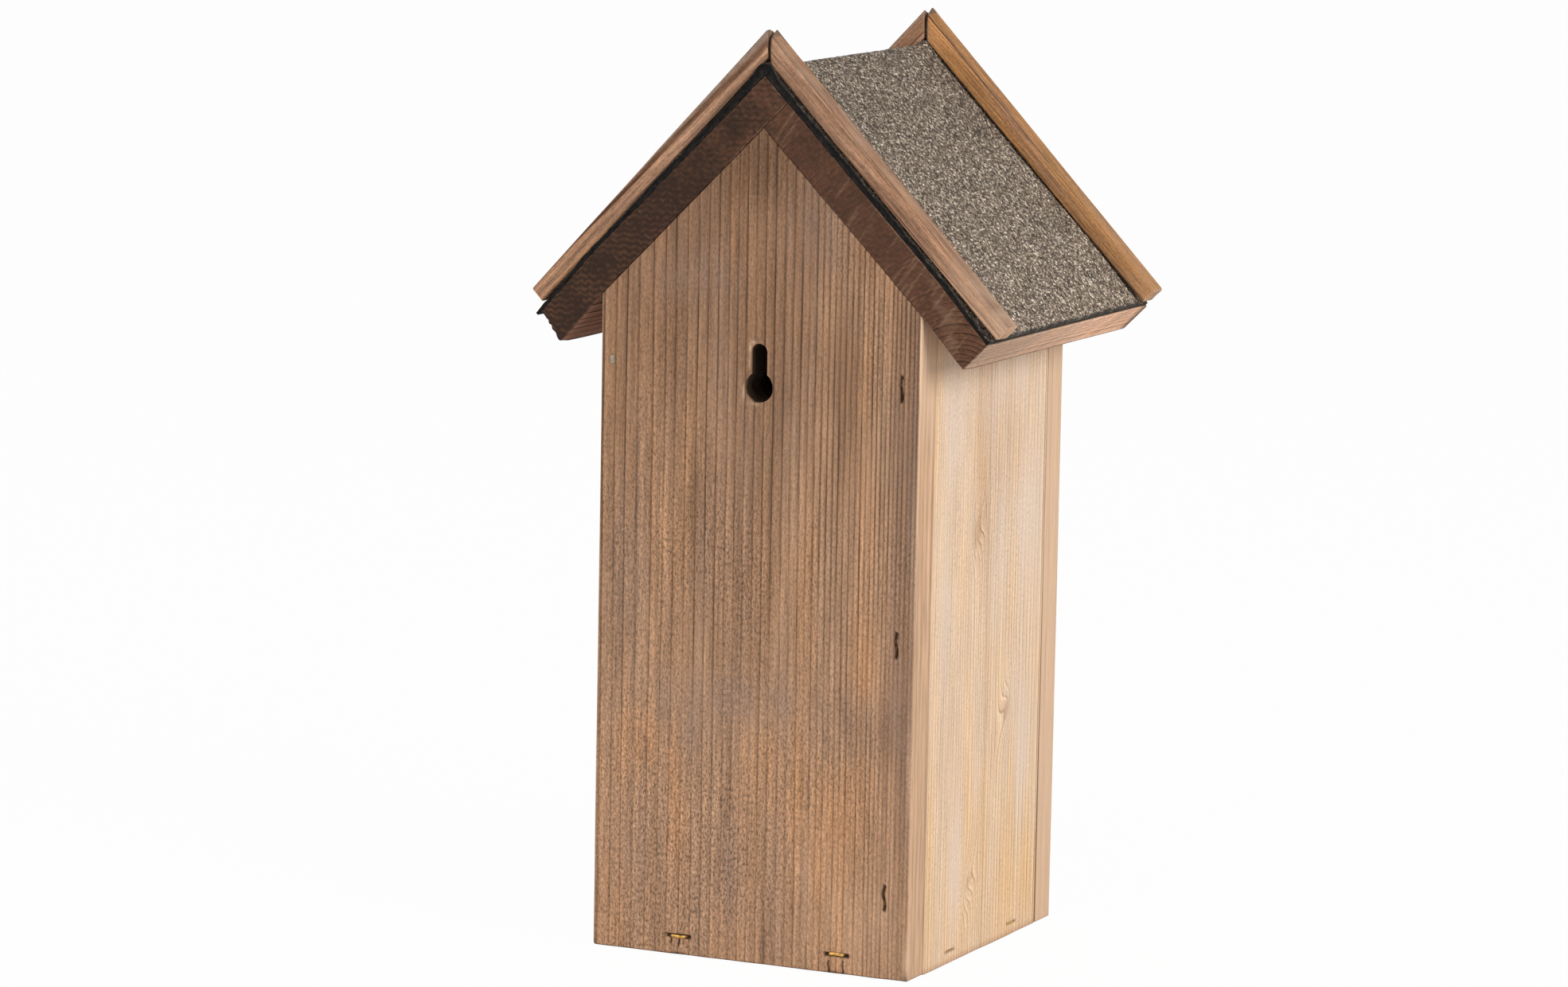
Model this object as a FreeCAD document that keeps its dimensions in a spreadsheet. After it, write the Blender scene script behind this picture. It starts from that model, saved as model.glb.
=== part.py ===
"""Wooden bird nest box with a felted saddle roof, hung on a wall by the keyhole in its back panel.

Millimetres, +Z up. The origin lies on the base plane, midway under the roof. The entrance faces -Y,
the back panel is at +Y, and the side wall at +X is a door that swings out for cleaning.
Left and right are as seen from in front of the entrance.
"""
import FreeCAD, Part
import math
import os

import Sketcher
from FreeCAD import Placement, Rotation, Vector

SIZES = (
    ("body_width", 136, "across the outside of the two side walls"),
    ("body_depth", 140, "from the front panel's face to the back panel's face"),
    ("wall_thickness", 15, "boards of the gables, side walls and door"),
    ("eave_height", 258, "base to where the roof's underside meets the outside of a side wall"),
    ("floor_thickness", 15, "floor board, flush with the lower edges of the walls"),
    ("drain_diameter", 8, "drain holes in the floor"),
    ("drain_inset", 18, "drain hole centre from the floor's edges"),
    ("entrance_diameter", 32, "entrance hole in the front panel"),
    ("entrance_below_eave", 58, "entrance centre below the eave height"),
    ("keyhole_diameter", 12, "round part of the keyhole, for a screw head"),
    ("keyhole_below_eave", 32, "centre of the round part below the eave height"),
    ("slot_width", 7, "slot of the keyhole, for a screw shank"),
    ("slot_rise", 13.5, "centre of the round part to the centre of the slot's end"),
    ("roof_pitch", 45, "degrees"),
    ("roof_thickness", 14, "roof boards"),
    ("roof_slope", 122.5, "ridge to eave along the boards' underside"),
    ("front_overhang", 20, "roof past the front panel; at the back it is flush"),
    ("felt_thickness", 3.5, "mineral roofing felt"),
    ("batten_thickness", 7.5, "verge battens at their lower end, square to the slope"),
    ("batten_ridge_thickness", 9, "verge battens at the ridge, square to the slope"),
    ("batten_width", 10, "verge battens, along the ridge"),
    ("batten_inset", 2, "batten from the gable end of the felt"),
    ("batten_setback", 1, "batten's lower end from the eave"),
    ("short_batten_setback", 4.5, "the same for the one short batten, back right"),
    ("batten_edge_radius", 0.5, "rounding of the battens' edges"),
    ("ridge_gap", 1.2, "open mitre between two battens"),
    ("mitre_offset", 1.2, "the mitre from the middle of the ridge, towards the fixed wall"),
    ("wall_top_gap", 0.5, "top of the fixed wall below the eave height"),
    ("door_top_gap", 1.5, "top of the door below the eave height"),
    ("door_bottom_gap", 1.5, "door above the base plane"),
    ("door_end_gap", 0.75, "door to each gable panel"),
    ("door_face_gap", 0.5, "door to the edge of the floor"),
    ("pivot_below_eave", 25.5, "door pivot below the eave height"),
    ("pivot_inset", 5, "door pivot from the door's outer face"),
    ("pivot_clearance", 0.05, "radial, nail in the door and hook in the front panel"),
    ("nail_diameter", 2, "pivot nails"),
    ("nail_head_diameter", 3.6, "pivot nails"),
    ("nail_head_thickness", 0.8, "pivot nails"),
    ("nail_point", 3, "tapered point of a pivot nail"),
    ("pivot_nail_length", 38, "pivot nails, through a gable panel into the door"),
    ("staple_crown", 9, "outside width of a staple"),
    ("staple_leg", 25, "length of a staple's legs"),
    ("staple_wire_width", 1.2, "flat side of the staple wire"),
    ("staple_wire_depth", 0.9, "thickness of the staple wire"),
    ("edge_staple_inset", 8, "edge staples from the side of a gable panel"),
    ("low_edge_staple_inset", 10.8, "the lowest edge staple, driven further in"),
    ("edge_staple_below_eave", 28.5, "top edge staple below the eave height"),
    ("edge_staple_low", 32, "lowest edge staple above the base"),
    ("floor_staple_left", 37.5, "left floor staple of a gable panel from the middle"),
    ("floor_staple_right", 30.5, "right floor staple of a gable panel from the middle"),
    ("floor_staple_height", 7.5, "floor staples of the gable panels above the base"),
    ("wall_staple_inset", 40, "floor staples of the fixed wall from the box's faces"),
    ("wall_staple_height", 5, "floor staples of the fixed wall above the base"),
    ("roof_staple_from_ridge", 30, "upper staples of a roof board, along the slope"),
    ("roof_staple_from_wall", 16, "lower staples, along the slope, from the wall's outside"),
    ("ridge_staple_inset", 25, "end staples of the ridge from the gable ends of the roof"),
    ("brad_width", 1.2, "brads of flat wire in the verge battens, along the slope"),
    ("brad_depth", 1, "the brads' other side"),
    ("brad_length", 22, "brads"),
    ("brad_sink", 0.8, "top of a brad below the top of the batten's thin end"),
    ("brad_above_staple", 3.5, "upper brad of a batten from the upper roof staple, along the slope"),
    ("brad_below_staple", 12, "lower brad of a batten from the lower roof staple, along the slope"),
    ("hook_wire", 2.6, "diameter of the catch hook's wire"),
    ("hook_height", 40, "catch hook above the base"),
    ("hook_arm", 18, "catch hook's arm, from the shank's axis to its tip"),
    ("hook_bend", 3.5, "catch hook's bend, at the middle of the wire"),
    ("hook_standoff", 0.3, "start of the hook's bend from the front panel's edge"),
    ("hook_embed", 14, "hook's shank inside the front panel"),
)

doc = FreeCAD.newDocument("nest_box")
sheet = doc.addObject("Spreadsheet::Sheet", "sizes")
for row, (alias, number, note) in enumerate(SIZES, start=1):
    sheet.set(f"A{row}", alias)
    sheet.set(f"B{row}", str(number))
    sheet.setAlias(f"B{row}", alias)
    sheet.set(f"C{row}", note)
doc.recompute()

# Places worked out from the sheet, as expressions
HALF_WIDTH = "(sizes.body_width / 2)"
ROOF_DEPTH = "(sizes.body_depth + sizes.front_overhang)"
BACK_FACE = f"({ROOF_DEPTH} / 2)"
FRONT_FACE = f"({BACK_FACE} - sizes.body_depth)"
BACK_INSIDE = f"({BACK_FACE} - sizes.wall_thickness)"
FRONT_INSIDE = f"({FRONT_FACE} + sizes.wall_thickness)"
INNER_DEPTH = "(sizes.body_depth - 2 * sizes.wall_thickness)"
INNER_HALF_WIDTH = f"({HALF_WIDTH} - sizes.wall_thickness)"
APEX = f"(sizes.eave_height + {HALF_WIDTH} * tan(sizes.roof_pitch))"
PIVOT_X = f"({HALF_WIDTH} - sizes.pivot_inset)"
PIVOT_Z = "(sizes.eave_height - sizes.pivot_below_eave)"
FELT_TOP = "(sizes.roof_thickness + sizes.felt_thickness)"
BATTEN_TOP = f"({FELT_TOP} + sizes.batten_thickness)"
BATTEN_RIDGE_TOP = f"({FELT_TOP} + sizes.batten_ridge_thickness)"
HOOK_Y = f"({FRONT_FACE} + sizes.wall_thickness / 2)"
RIGHT = Vector(1, 0, 0)
BACK = Vector(0, 1, 0)
UP = Vector(0, 0, 1)

sub_parts = []


def value(expression):
    """The number that an expression of the sheet gives."""
    return float(doc.getObject("frame_of_values").evalExpression(expression))


def new_body(label, x="0", y="0", z="0", rotation=Rotation(), kept=True):
    """Empty body whose place is tied to the sheet."""
    body = doc.addObject("PartDesign::Body", label)
    body.Label = label
    body.Placement = Placement(Vector(), rotation)
    for axis, expression in zip("xyz", (x, y, z)):
        body.setExpression(f".Placement.Base.{axis}", expression)
    if kept:
        sub_parts.append(body)
    return body


def new_sketch(body, name, plane="XZ_Plane", offset=None):
    """Sketch on one of the body's own origin planes, moved along the plane's normal by offset."""
    sketch = body.newObject("Sketcher::SketchObject", name)
    support = next(feature for feature in body.Origin.OriginFeatures if feature.Role == plane)
    sketch.AttachmentSupport = (support, "")
    sketch.MapMode = "FlatFace"
    if offset:
        sketch.setExpression(".AttachmentOffset.Base.z", offset)
    return sketch


def tie_point(sketch, geometry, point, x, y):
    """Ties a point of the sketch to its origin with two dimensions."""
    for kind, expression in (("DistanceX", x), ("DistanceY", y)):
        index = sketch.addConstraint(
            Sketcher.Constraint(kind, -1, 1, geometry, point, value(expression)))
        sketch.setExpression(f"Constraints[{index}]", expression)


def tie_radius(sketch, geometry, expression):
    index = sketch.addConstraint(Sketcher.Constraint("Radius", geometry, value(expression)))
    sketch.setExpression(f"Constraints[{index}]", expression)


def draw_polygon(sketch, corners):
    """Closed outline of straight lines, each corner tied to the sheet."""
    points = [Vector(value(x), value(y), 0) for x, y in corners]
    count = len(points)
    for i in range(count):
        sketch.addGeometry(Part.LineSegment(points[i], points[(i + 1) % count]), False)
    for i in range(count):
        sketch.addConstraint(Sketcher.Constraint("Coincident", i, 2, (i + 1) % count, 1))
    for i, (x, y) in enumerate(corners):
        tie_point(sketch, i, 1, x, y)
    return sketch


def draw_circles(sketch, centres, diameter):
    for i, (x, y) in enumerate(centres):
        centre = Vector(value(x), value(y), 0)
        sketch.addGeometry(Part.Circle(centre, UP, value(diameter) / 2), False)
        tie_point(sketch, i, 3, x, y)
        tie_radius(sketch, i, f"{diameter} / 2")
    return sketch


def pad(body, sketch, length, symmetric=False):
    feature = body.newObject("PartDesign::Pad", f"{body.Name}_pad")
    feature.Profile = sketch
    feature.setExpression("Length", length)
    if symmetric:
        feature.SideType = "Symmetric"
    body.Tip = feature
    return feature


def pocket(body, sketch, depth=None, reverse=False):
    """Cut along the sketch's normal, or against it with reverse; right through without a depth."""
    feature = body.newObject("PartDesign::Pocket", f"{sketch.Name}_pocket")
    feature.Profile = sketch
    feature.Reversed = not reverse
    if depth:
        feature.setExpression("Length", depth)
    else:
        feature.Type = "ThroughAll"
    body.Tip = feature
    return feature


def group(label, members):
    """Like fasteners as one sub-part of separate solids."""
    compound = doc.addObject("Part::Compound", label)
    compound.Label = label
    compound.Links = members
    sub_parts.append(compound)
    return compound


# An empty object of the document that reads the sheet for value()
doc.addObject("App::FeaturePython", "frame_of_values")


# Gable panels: five-sided boards over the ends of the side walls, padded from their +Y face
def gable_panel(label, y):
    body = new_body(label, y=y)
    outline = draw_polygon(new_sketch(body, f"{label}_outline"), (
        (f"-{HALF_WIDTH}", "0"),
        (HALF_WIDTH, "0"),
        (HALF_WIDTH, "sizes.eave_height"),
        ("0", APEX),
        (f"-{HALF_WIDTH}", "sizes.eave_height"),
    ))
    pad(body, outline, "sizes.wall_thickness")
    pivot = new_sketch(body, f"{label}_pivot_hole")
    pocket(body, draw_circles(pivot, [(PIVOT_X, PIVOT_Z)], "sizes.nail_diameter"))
    return body


def draw_keyhole(sketch):
    """Round hole with a round-ended slot above it, as one outline."""
    centre_z = "(sizes.eave_height - sizes.keyhole_below_eave)"
    hole = value("sizes.keyhole_diameter / 2")
    half_slot = value("sizes.slot_width / 2")
    low = Vector(0, value(centre_z), 0)
    high = low + Vector(0, value("sizes.slot_rise"), 0)
    corner = math.acos(half_slot / hole)
    shoulder = hole * math.sin(corner)
    right = low + Vector(half_slot, shoulder, 0)
    left = low + Vector(-half_slot, shoulder, 0)
    round_hole = Part.Circle(low, UP, hole)
    slot_end = Part.Circle(high, UP, half_slot)
    sketch.addGeometry(Part.ArcOfCircle(round_hole, math.pi - corner, 2 * math.pi + corner), False)
    sketch.addGeometry(Part.LineSegment(right, high + Vector(half_slot, 0, 0)), False)
    sketch.addGeometry(Part.ArcOfCircle(slot_end, 0, math.pi), False)
    sketch.addGeometry(Part.LineSegment(high - Vector(half_slot, 0, 0), left), False)
    sketch.addConstraint(Sketcher.Constraint("Coincident", 0, 2, 1, 1))
    sketch.addConstraint(Sketcher.Constraint("Tangent", 1, 2, 2, 1))
    sketch.addConstraint(Sketcher.Constraint("Tangent", 2, 2, 3, 1))
    sketch.addConstraint(Sketcher.Constraint("Coincident", 3, 2, 0, 1))
    sketch.addConstraint(Sketcher.Constraint("Vertical", 1))
    sketch.addConstraint(Sketcher.Constraint("Vertical", 3))
    tie_point(sketch, 0, 3, "0", centre_z)
    tie_point(sketch, 2, 3, "0", f"{centre_z} + sizes.slot_rise")
    tie_radius(sketch, 0, "sizes.keyhole_diameter / 2")
    tie_radius(sketch, 2, "sizes.slot_width / 2")
    return sketch


back_panel = gable_panel("back_panel", BACK_FACE)
pocket(back_panel, draw_keyhole(new_sketch(back_panel, "keyhole")))

front_panel = gable_panel("front_panel", FRONT_INSIDE)
entrance = new_sketch(front_panel, "entrance")
draw_circles(entrance, [("0", "sizes.eave_height - sizes.entrance_below_eave")], "sizes.entrance_diameter")
pocket(front_panel, entrance)
hook_hole = new_sketch(front_panel, "hook_hole", "YZ_Plane", HALF_WIDTH)
draw_circles(hook_hole, [("-sizes.wall_thickness / 2", "sizes.hook_height")],
             "(sizes.hook_wire + 2 * sizes.pivot_clearance)")
pocket(front_panel, hook_hole, "sizes.hook_embed + sizes.hook_standoff", reverse=True)


# Side walls: the fixed one at -X, and the door at +X with a pivot hole in each end
def side_board(label, inner_x, outer_x, bottom, top, y, length):
    body = new_body(label, y=y)
    profile = draw_polygon(new_sketch(body, f"{label}_profile"), (
        (inner_x, bottom), (outer_x, bottom), (outer_x, top), (inner_x, top)))
    pad(body, profile, length)
    return body


side_board("left_wall", f"-{INNER_HALF_WIDTH}", f"-{HALF_WIDTH}", "0",
           "sizes.eave_height - sizes.wall_top_gap", BACK_INSIDE, INNER_DEPTH)

DOOR_LENGTH = f"({INNER_DEPTH} - 2 * sizes.door_end_gap)"
side_door = side_board("side_door", INNER_HALF_WIDTH, HALF_WIDTH, "sizes.door_bottom_gap",
                       "sizes.eave_height - sizes.door_top_gap",
                       f"{BACK_INSIDE} - sizes.door_end_gap", DOOR_LENGTH)
PIVOT_HOLE = "(sizes.nail_diameter + 2 * sizes.pivot_clearance)"
PIVOT_HOLE_DEPTH = "(sizes.pivot_nail_length - sizes.wall_thickness)"
back_pivot_hole = new_sketch(side_door, "back_pivot_hole")
pocket(side_door, draw_circles(back_pivot_hole, [(PIVOT_X, PIVOT_Z)], PIVOT_HOLE), PIVOT_HOLE_DEPTH)
front_pivot_hole = new_sketch(side_door, "front_pivot_hole", offset=DOOR_LENGTH)
pocket(side_door, draw_circles(front_pivot_hole, [(PIVOT_X, PIVOT_Z)], PIVOT_HOLE),
       PIVOT_HOLE_DEPTH, reverse=True)

# Floor board between the walls, short of the door by its clearance, with four drain holes
floor_panel = new_body("floor_panel")
FLOOR_LEFT = f"-{INNER_HALF_WIDTH}"
FLOOR_RIGHT = f"({INNER_HALF_WIDTH} - sizes.door_face_gap)"
pad(floor_panel, draw_polygon(new_sketch(floor_panel, "floor_outline", "XY_Plane"), (
    (FLOOR_LEFT, FRONT_INSIDE), (FLOOR_RIGHT, FRONT_INSIDE),
    (FLOOR_RIGHT, BACK_INSIDE), (FLOOR_LEFT, BACK_INSIDE))), "sizes.floor_thickness")
drain_places = [(x, y)
                for x in (f"{FLOOR_LEFT} + sizes.drain_inset", f"{FLOOR_RIGHT} - sizes.drain_inset")
                for y in (f"{FRONT_INSIDE} + sizes.drain_inset", f"{BACK_INSIDE} - sizes.drain_inset")]
drains = draw_circles(new_sketch(floor_panel, "drains", "XY_Plane"), drain_places, "sizes.drain_diameter")
pocket(floor_panel, drains)


# Roof: local X runs along the slope from the ridge, local Z square to it, from the boards' underside.
# side is 1 for the right slope and -1 for the left one.
def lean_on_slope(body, side):
    body.Placement = Placement(body.Placement.Base, Rotation(BACK, 1))
    body.setExpression(".Placement.Rotation.Angle", along(side, "sizes.roof_pitch"))


def along(side, expression):
    return expression if side == 1 else f"-({expression})"


def slope_point(distance, height):
    """Expressions of X and Z, from the apex of the undersides, of a point on the right slope."""
    x = f"(({distance}) * cos(sizes.roof_pitch) + {height} * sin(sizes.roof_pitch))"
    z = f"({height} * cos(sizes.roof_pitch) - ({distance}) * sin(sizes.roof_pitch))"
    return x, z


def slope_body(label, side, y):
    body = new_body(label, y=y, z=APEX)
    lean_on_slope(body, side)
    return body


def roof_board(label, side, top_low, top_high):
    """Board cut square at the eave and fitted at the ridge: top_low and top_high end its two faces."""
    body = slope_body(label, side, BACK_FACE)
    profile = draw_polygon(new_sketch(body, f"{label}_profile"), (
        (along(side, top_low), "0"),
        (along(side, "sizes.roof_slope"), "0"),
        (along(side, "sizes.roof_slope"), "sizes.roof_thickness"),
        (along(side, top_high), "sizes.roof_thickness")))
    pad(body, profile, ROOF_DEPTH)
    return body


RIDGE_SINE = "sin(2 * sizes.roof_pitch)"
RIDGE_COSINE = "cos(2 * sizes.roof_pitch)"
roof_board("right_roof_board", 1, f"-sizes.roof_thickness / {RIDGE_SINE}",
           f"sizes.roof_thickness * ({RIDGE_COSINE} - 1) / {RIDGE_SINE}")
roof_board("left_roof_board", -1, "0", f"sizes.roof_thickness * {RIDGE_COSINE} / {RIDGE_SINE}")


# Felt: one sheet over both boards, bent round the sharp edge of the ridge
def draw_felt(sketch):
    ridge = "(sizes.roof_thickness / cos(sizes.roof_pitch))"
    thickness = "sizes.felt_thickness"
    bend = "(-sizes.roof_thickness * tan(sizes.roof_pitch))"
    right = [slope_point("sizes.roof_slope", "sizes.roof_thickness"),
             slope_point("sizes.roof_slope", FELT_TOP),
             slope_point(bend, FELT_TOP)]
    left = [(f"-{x}", z) for x, z in reversed(right)]
    corners = [("0", ridge), *right, *left]
    points = [Vector(value(x), value(z), 0) for x, z in corners]
    turn = math.radians(90 - value("sizes.roof_pitch"))
    circle = Part.Circle(points[0], UP, value(thickness))
    last = len(points) - 1
    for i in range(len(points)):
        if i == 3:
            sketch.addGeometry(Part.ArcOfCircle(circle, turn, math.pi - turn), False)
        else:
            sketch.addGeometry(Part.LineSegment(points[i], points[(i + 1) % len(points)]), False)
    for i in range(len(points)):
        sketch.addConstraint(Sketcher.Constraint("Coincident", i, 2, 0 if i == last else i + 1, 1))
    sketch.addConstraint(Sketcher.Constraint("Coincident", 3, 3, 0, 1))
    for i, (x, z) in enumerate(corners):
        if i != 4:
            tie_point(sketch, i, 1, x, z)
    sketch.addConstraint(Sketcher.Constraint("Horizontal", 3, 1, 3, 2))
    return sketch


roof_felt = new_body("roof_felt", y=BACK_FACE, z=APEX)
pad(roof_felt, draw_felt(new_sketch(roof_felt, "felt_profile")), ROOF_DEPTH)


# Verge battens on the felt, thicker towards the ridge, mitred upright there, with rounded edges
def batten_top(side, height):
    reach = f"sizes.ridge_gap / 2 - {side} * sizes.mitre_offset"
    return f"(({reach} - {height} * sin(sizes.roof_pitch)) / cos(sizes.roof_pitch))"


def verge_batten(label, side, y, setback):
    body = slope_body(label, side, y)
    low_end = f"sizes.roof_slope - {setback}"
    profile = draw_polygon(new_sketch(body, f"{label}_profile"), (
        (along(side, batten_top(side, FELT_TOP)), FELT_TOP),
        (along(side, low_end), FELT_TOP),
        (along(side, low_end), BATTEN_TOP),
        (along(side, batten_top(side, BATTEN_RIDGE_TOP)), BATTEN_RIDGE_TOP)))
    bar = pad(body, profile, "sizes.batten_width")
    doc.recompute()
    rounding = body.newObject("PartDesign::Fillet", f"{label}_rounding")
    rounding.Base = (bar, ["Edge1"])
    rounding.UseAllEdges = True
    rounding.setExpression("Radius", "sizes.batten_edge_radius")
    body.Tip = rounding


BACK_BATTEN = f"({BACK_FACE} - sizes.batten_inset)"
FRONT_BATTEN = f"(sizes.batten_inset + sizes.batten_width - {BACK_FACE})"
verge_batten("back_right_batten", 1, BACK_BATTEN, "sizes.short_batten_setback")
verge_batten("back_left_batten", -1, BACK_BATTEN, "sizes.batten_setback")
verge_batten("front_right_batten", 1, FRONT_BATTEN, "sizes.batten_setback")
verge_batten("front_left_batten", -1, FRONT_BATTEN, "sizes.batten_setback")


# Staples: crown along the sketch plane's first axis with its outside at local Z 0, legs down local -Z
def staple_shape(body, plane="XZ_Plane"):
    half = "sizes.staple_crown / 2"
    inner = f"({half} - sizes.staple_wire_depth)"
    shape = draw_polygon(new_sketch(body, f"{body.Name}_shape", plane), (
        (f"-{half}", "0"), (half, "0"), (half, "-sizes.staple_leg"), (inner, "-sizes.staple_leg"),
        (inner, "-sizes.staple_wire_depth"), (f"-{inner}", "-sizes.staple_wire_depth"),
        (f"-{inner}", "-sizes.staple_leg"), (f"-{half}", "-sizes.staple_leg")))
    pad(body, shape, "sizes.staple_wire_width", symmetric=True)
    return body


def staple(name, x, y, z, crown, outward):
    side = outward.cross(crown)
    return staple_shape(new_body(name, x, y, z, Rotation(crown, side, outward, "ZXY"), kept=False))


EDGE_TOP = "(sizes.eave_height - sizes.edge_staple_below_eave)"
EDGE_PLACES = (
    ("sizes.edge_staple_inset", EDGE_TOP),
    ("sizes.edge_staple_inset", f"({EDGE_TOP} + sizes.edge_staple_low) / 2"),
    ("sizes.low_edge_staple_inset", "sizes.edge_staple_low"),
)
for end, face, outward in (("back", BACK_FACE, BACK), ("front", FRONT_FACE, -BACK)):
    group(f"{end}_edge_staples", [
        staple(f"{end}_edge_staple_{i}", f"{inset} - {HALF_WIDTH}", face, z, UP, outward)
        for i, (inset, z) in enumerate(EDGE_PLACES)])
    group(f"{end}_floor_staples", [
        staple(f"{end}_floor_staple_{i}", x, face, "sizes.floor_staple_height", RIGHT, outward)
        for i, x in enumerate(("-sizes.floor_staple_left", "sizes.floor_staple_right"))])
group("wall_floor_staples", [
    staple(f"wall_floor_staple_{i}", f"-{HALF_WIDTH}", y, "sizes.wall_staple_height", BACK, -RIGHT)
    for i, y in enumerate((f"{BACK_FACE} - sizes.wall_staple_inset",
                           f"{FRONT_FACE} + sizes.wall_staple_inset"))])


def slope_fastener(name, side, distance, height, y):
    """Empty body standing square on a slope, distance down from the ridge and height above the underside."""
    x, z = slope_point(distance, height)
    body = new_body(name, along(side, x), y, f"{APEX} + {z}", kept=False)
    lean_on_slope(body, side)
    return body


GABLE_MIDDLES = (f"{BACK_FACE} - sizes.wall_thickness / 2", HOOK_Y)
LOW_ROOF_STAPLE = f"({HALF_WIDTH} / cos(sizes.roof_pitch) - sizes.roof_staple_from_wall)"
for name, side in (("right", 1), ("left", -1)):
    places = [(distance, y) for distance in ("sizes.roof_staple_from_ridge", LOW_ROOF_STAPLE)
              for y in GABLE_MIDDLES]
    group(f"{name}_roof_staples", [
        staple_shape(slope_fastener(f"{name}_roof_staple_{i}", side, distance, "sizes.roof_thickness", y))
        for i, (distance, y) in enumerate(places)])

RIDGE_STAPLE = f"(sizes.roof_thickness * ({RIDGE_COSINE} - 0.5) / {RIDGE_SINE})"
group("ridge_staples", [
    staple_shape(slope_fastener(f"ridge_staple_{i}", 1, RIDGE_STAPLE, "sizes.roof_thickness", y), "YZ_Plane")
    for i, y in enumerate((f"{BACK_FACE} - sizes.ridge_staple_inset", "0",
                           f"sizes.ridge_staple_inset - {BACK_FACE}"))])


# Brads of flat wire through the battens and the felt, punched in below the battens' tops
def brad_shape(body):
    half = "sizes.brad_width / 2"
    outline = draw_polygon(new_sketch(body, f"{body.Name}_outline"), (
        (f"-{half}", "-sizes.brad_length"), (half, "-sizes.brad_length"), (half, "0"), (f"-{half}", "0")))
    pad(body, outline, "sizes.brad_depth", symmetric=True)
    return body


BRAD_TOP = f"({BATTEN_TOP} - sizes.brad_sink)"
UPPER_BRAD = "sizes.roof_staple_from_ridge - sizes.staple_crown / 2 - sizes.brad_above_staple"
LOWER_BRAD = f"{LOW_ROOF_STAPLE} + sizes.staple_crown / 2 + sizes.brad_below_staple"
brad_places = [(side, f"{batten} - sizes.batten_width / 2", distance) for side in (1, -1)
               for batten in (BACK_BATTEN, FRONT_BATTEN) for distance in (UPPER_BRAD, LOWER_BRAD)]
group("batten_brads", [
    brad_shape(slope_fastener(f"batten_brad_{i}", side, distance, BRAD_TOP, y))
    for i, (side, y, distance) in enumerate(brad_places)])


# Pivot nails of the door: turned about local Z, the head's flat at local Z 0
def pivot_nail(label, y, outward):
    body = new_body(label, PIVOT_X, y, PIVOT_Z, Rotation(UP, outward))
    radius = "(sizes.nail_diameter / 2)"
    head_radius = "(sizes.nail_head_diameter / 2)"
    under_head = "-sizes.nail_head_thickness"
    half = draw_polygon(new_sketch(body, f"{label}_half"), (
        ("0", "0"), (head_radius, "0"), (head_radius, under_head), (radius, under_head),
        (radius, "sizes.nail_point - sizes.pivot_nail_length"), ("0", "-sizes.pivot_nail_length")))
    turning = body.newObject("PartDesign::Revolution", f"{label}_turning")
    turning.Profile = half
    turning.ReferenceAxis = (half, ["V_Axis"])
    turning.Angle = 360
    body.Tip = turning


pivot_nail("back_pivot_nail", BACK_FACE, BACK)
pivot_nail("front_pivot_nail", FRONT_FACE, -BACK)

# Catch hook: wire bent to an L, its shank turning in the edge of the front panel, its arm hanging free
catch_hook = new_body("catch_hook", HALF_WIDTH, HOOK_Y, "sizes.hook_height")
spine = new_sketch(catch_hook, "hook_spine")
arm_x = "(sizes.hook_standoff + sizes.hook_bend)"
spine_points = (("-sizes.hook_embed", "0"), ("sizes.hook_standoff", "0"),
                (arm_x, "-sizes.hook_bend"), (arm_x, "-sizes.hook_arm"))
start, bend_start, bend_end, tip = (Vector(value(x), value(z), 0) for x, z in spine_points)
bend_centre = Vector(bend_start.x, bend_end.y, 0)
bend_circle = Part.Circle(bend_centre, UP, value("sizes.hook_bend"))
spine.addGeometry(Part.LineSegment(start, bend_start), False)
spine.addGeometry(Part.ArcOfCircle(bend_circle, 0, math.pi / 2), False)
spine.addGeometry(Part.LineSegment(bend_end, tip), False)
spine.addConstraint(Sketcher.Constraint("Tangent", 0, 2, 1, 2))
spine.addConstraint(Sketcher.Constraint("Tangent", 1, 1, 2, 1))
spine.addConstraint(Sketcher.Constraint("Vertical", 2))
tie_point(spine, 0, 1, *spine_points[0])
tie_point(spine, 0, 2, *spine_points[1])
tie_point(spine, 2, 2, *spine_points[3])
wire = new_sketch(catch_hook, "hook_wire", "YZ_Plane", "-sizes.hook_embed")
draw_circles(wire, [("0", "0")], "sizes.hook_wire")
bent_wire = catch_hook.newObject("PartDesign::AdditivePipe", "bent_wire")
bent_wire.Profile = wire
bent_wire.Spine = (spine, ["Edge1", "Edge2", "Edge3"])
catch_hook.Tip = bent_wire

doc.recompute()

for item in doc.Objects:
    if "Invalid" in item.State or "Error" in item.State:
        raise RuntimeError(f"{item.Name} failed: {item.State}")
    if item.TypeId == "PartDesign::Pocket" and item.Shape.Volume >= item.BaseFeature.Shape.Volume:
        raise RuntimeError(f"{item.Name} cuts nothing")
os.makedirs("parts", exist_ok=True)
for item in sub_parts:
    if item.Shape.isNull() or not item.Shape.isValid():
        raise RuntimeError(f"{item.Label} has no valid shape")
for item in sub_parts:
    item.Shape.exportStep(f"parts/{item.Label}.step")
    print(f"{item.Label}: {len(item.Shape.Solids)} solids, {item.Shape.Volume:.0f} mm3")
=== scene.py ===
"""Wooden bird nest box with a felted saddle roof, standing in a white studio and seen from behind.

Metres, +Z up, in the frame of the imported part: back panel at +Y, cleaning door at +X.
"""
import math

import bpy
import numpy as np
from mathutils import Matrix, Vector


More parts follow.
